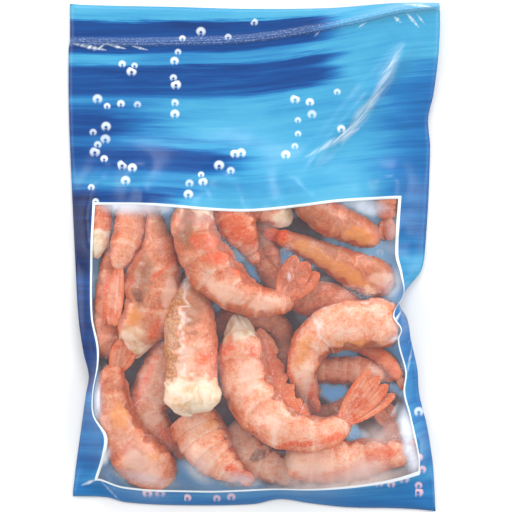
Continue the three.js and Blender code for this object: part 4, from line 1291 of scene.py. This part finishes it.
class POUCH_OT_front(bpy.types.Operator):
    """Stretch the printed front and its clear window over the tails"""

    bl_idname = "pouch.front"
    bl_label = "Front Film"

    def execute(self, context):
        film = context.scene.pouch_film
        a, b, x, y = sheet_places()
        z, gap, folds, open_below = front_height(film, a, b, x, y)
        clear = window_cells()
        ink = printed_material(film, "print_front", "front")
        front = film_piece("printed_front", x, y, z, a, b, ink)
        delete_cells(front, clear)
        modify(front, "SOLIDIFY", thickness=film.thickness, offset=-1)
        finish_piece(front, "printed_film", "printed_pouch")
        window = film_piece("clear_window", x, y, z, a, b, window_material(film))
        warp = 0.15 * waves(np.stack([x, y], -1), 28, 8)
        # Frost haze and painted glare from the table, with how warm each place is.
        cover = np.array([strength * ellipse(x, y, warp, 1.1, spot) for *spot, strength, _ in HAZE_AND_GLARE])
        blush = np.tensordot([row[-1] for row in HAZE_AND_GLARE], cover, 1) / (cover.sum(0) + 0.05)
        # The mark along the fold crests is a painted highlight: the window whitens where the film
        # folds.
        marks = dict(
            gap=smooth((gap - 0.8) / 14), open=open_below, crease_highlight=np.clip(folds / 5 - 0.2, 0, 1),
            haze=cover.max(0), blush=blush,
        )
        mark(window, **{key: values.ravel() for key, values in marks.items()})
        delete_cells(window, ~clear)
        finish_piece(window, "clear_film", "window_film")
        return {"FINISHED"}


class POUCH_OT_stage(bpy.types.Operator):
    """Set the floor, the soft light and the camera that looks straight down"""

    bl_idname = "pouch.stage"
    bl_label = "Stage"

    def execute(self, context):
        scene = context.scene
        stage = scene.pouch_stage
        add = bpy.ops.mesh.primitive_plane_add
        floor = added(add, "floor", size=6, location=(0, 0, FLOOR_HEIGHT))
        m = Material("pale_floor", Base_Color=stage.floor, Roughness=0.7, Specular_IOR_Level=0.2)
        floor.data.materials.append(m.material)
        world = scene.world or bpy.data.worlds.new("soft_sky")
        scene.world = world
        world.use_nodes = True
        sky = world.node_tree.nodes["Background"]
        sky.inputs["Color"].default_value = (1, 1, 1, 1)
        sky.inputs["Strength"].default_value = stage.sky
        for name, place, size in LAMPS:
            lamp = added(bpy.ops.object.light_add, name, type="AREA", location=place)
            lamp.data.size, lamp.data.energy = size, stage.lamp
            lamp.rotation_euler = (-Vector(place)).to_track_quat("-Z", "Y").to_euler()
        over = (*CAMERA_OVER, stage.lens / SENSOR * stage.view_width)
        camera = added(bpy.ops.object.camera_add, "Camera", location=over)
        camera.data.lens, camera.data.sensor_width = stage.lens, SENSOR
        scene.camera = camera
        scene.view_settings.view_transform = "Standard"
        return {"FINISHED"}


LAMPS = [
    ("lamp_left", (-1.25, 0.35, 0.9), 0.9),
    ("lamp_right", (1.25, 0.2, 0.95), 0.9),
    ("lamp_top", (0.2, 1.35, 0.9), 0.7),
]
CAMERA_OVER = (0.001, 0.0005)
SENSOR = 36
FLOOR_HEIGHT = -0.0002


class POUCH_PT_panel(bpy.types.Panel):
    bl_label = "Shrimp Pouch"
    bl_space_type = "VIEW_3D"
    bl_region_type = "UI"
    bl_category = "Pouch"

    def draw(self, context):
        for group in ("pouch_film", "shrimp_colours", "pouch_stage"):
            settings = getattr(context.scene, group)
            for name in settings.__annotations__:
                self.layout.prop(settings, name)
        for operator in OPERATORS:
            self.layout.operator(operator.bl_idname)


OPERATORS = (POUCH_OT_stage, POUCH_OT_tails, POUCH_OT_back, POUCH_OT_front)
GROUPS = {"pouch_film": PouchFilm, "shrimp_colours": ShrimpColours, "pouch_stage": StageSettings}


def register():
    for kind in (*GROUPS.values(), *OPERATORS, POUCH_PT_panel):
        bpy.utils.register_class(kind)
    for name, group in GROUPS.items():
        setattr(bpy.types.Scene, name, bpy.props.PointerProperty(type=group))


def unregister():
    for name in GROUPS:
        delattr(bpy.types.Scene, name)
    for kind in reversed((*GROUPS.values(), *OPERATORS, POUCH_PT_panel)):
        bpy.utils.unregister_class(kind)


def main():
    register()
    bpy.ops.pouch.stage()
    bpy.ops.pouch.tails()
    bpy.ops.pouch.back()
    bpy.ops.pouch.front()


if __name__ == "__main__":
    main()
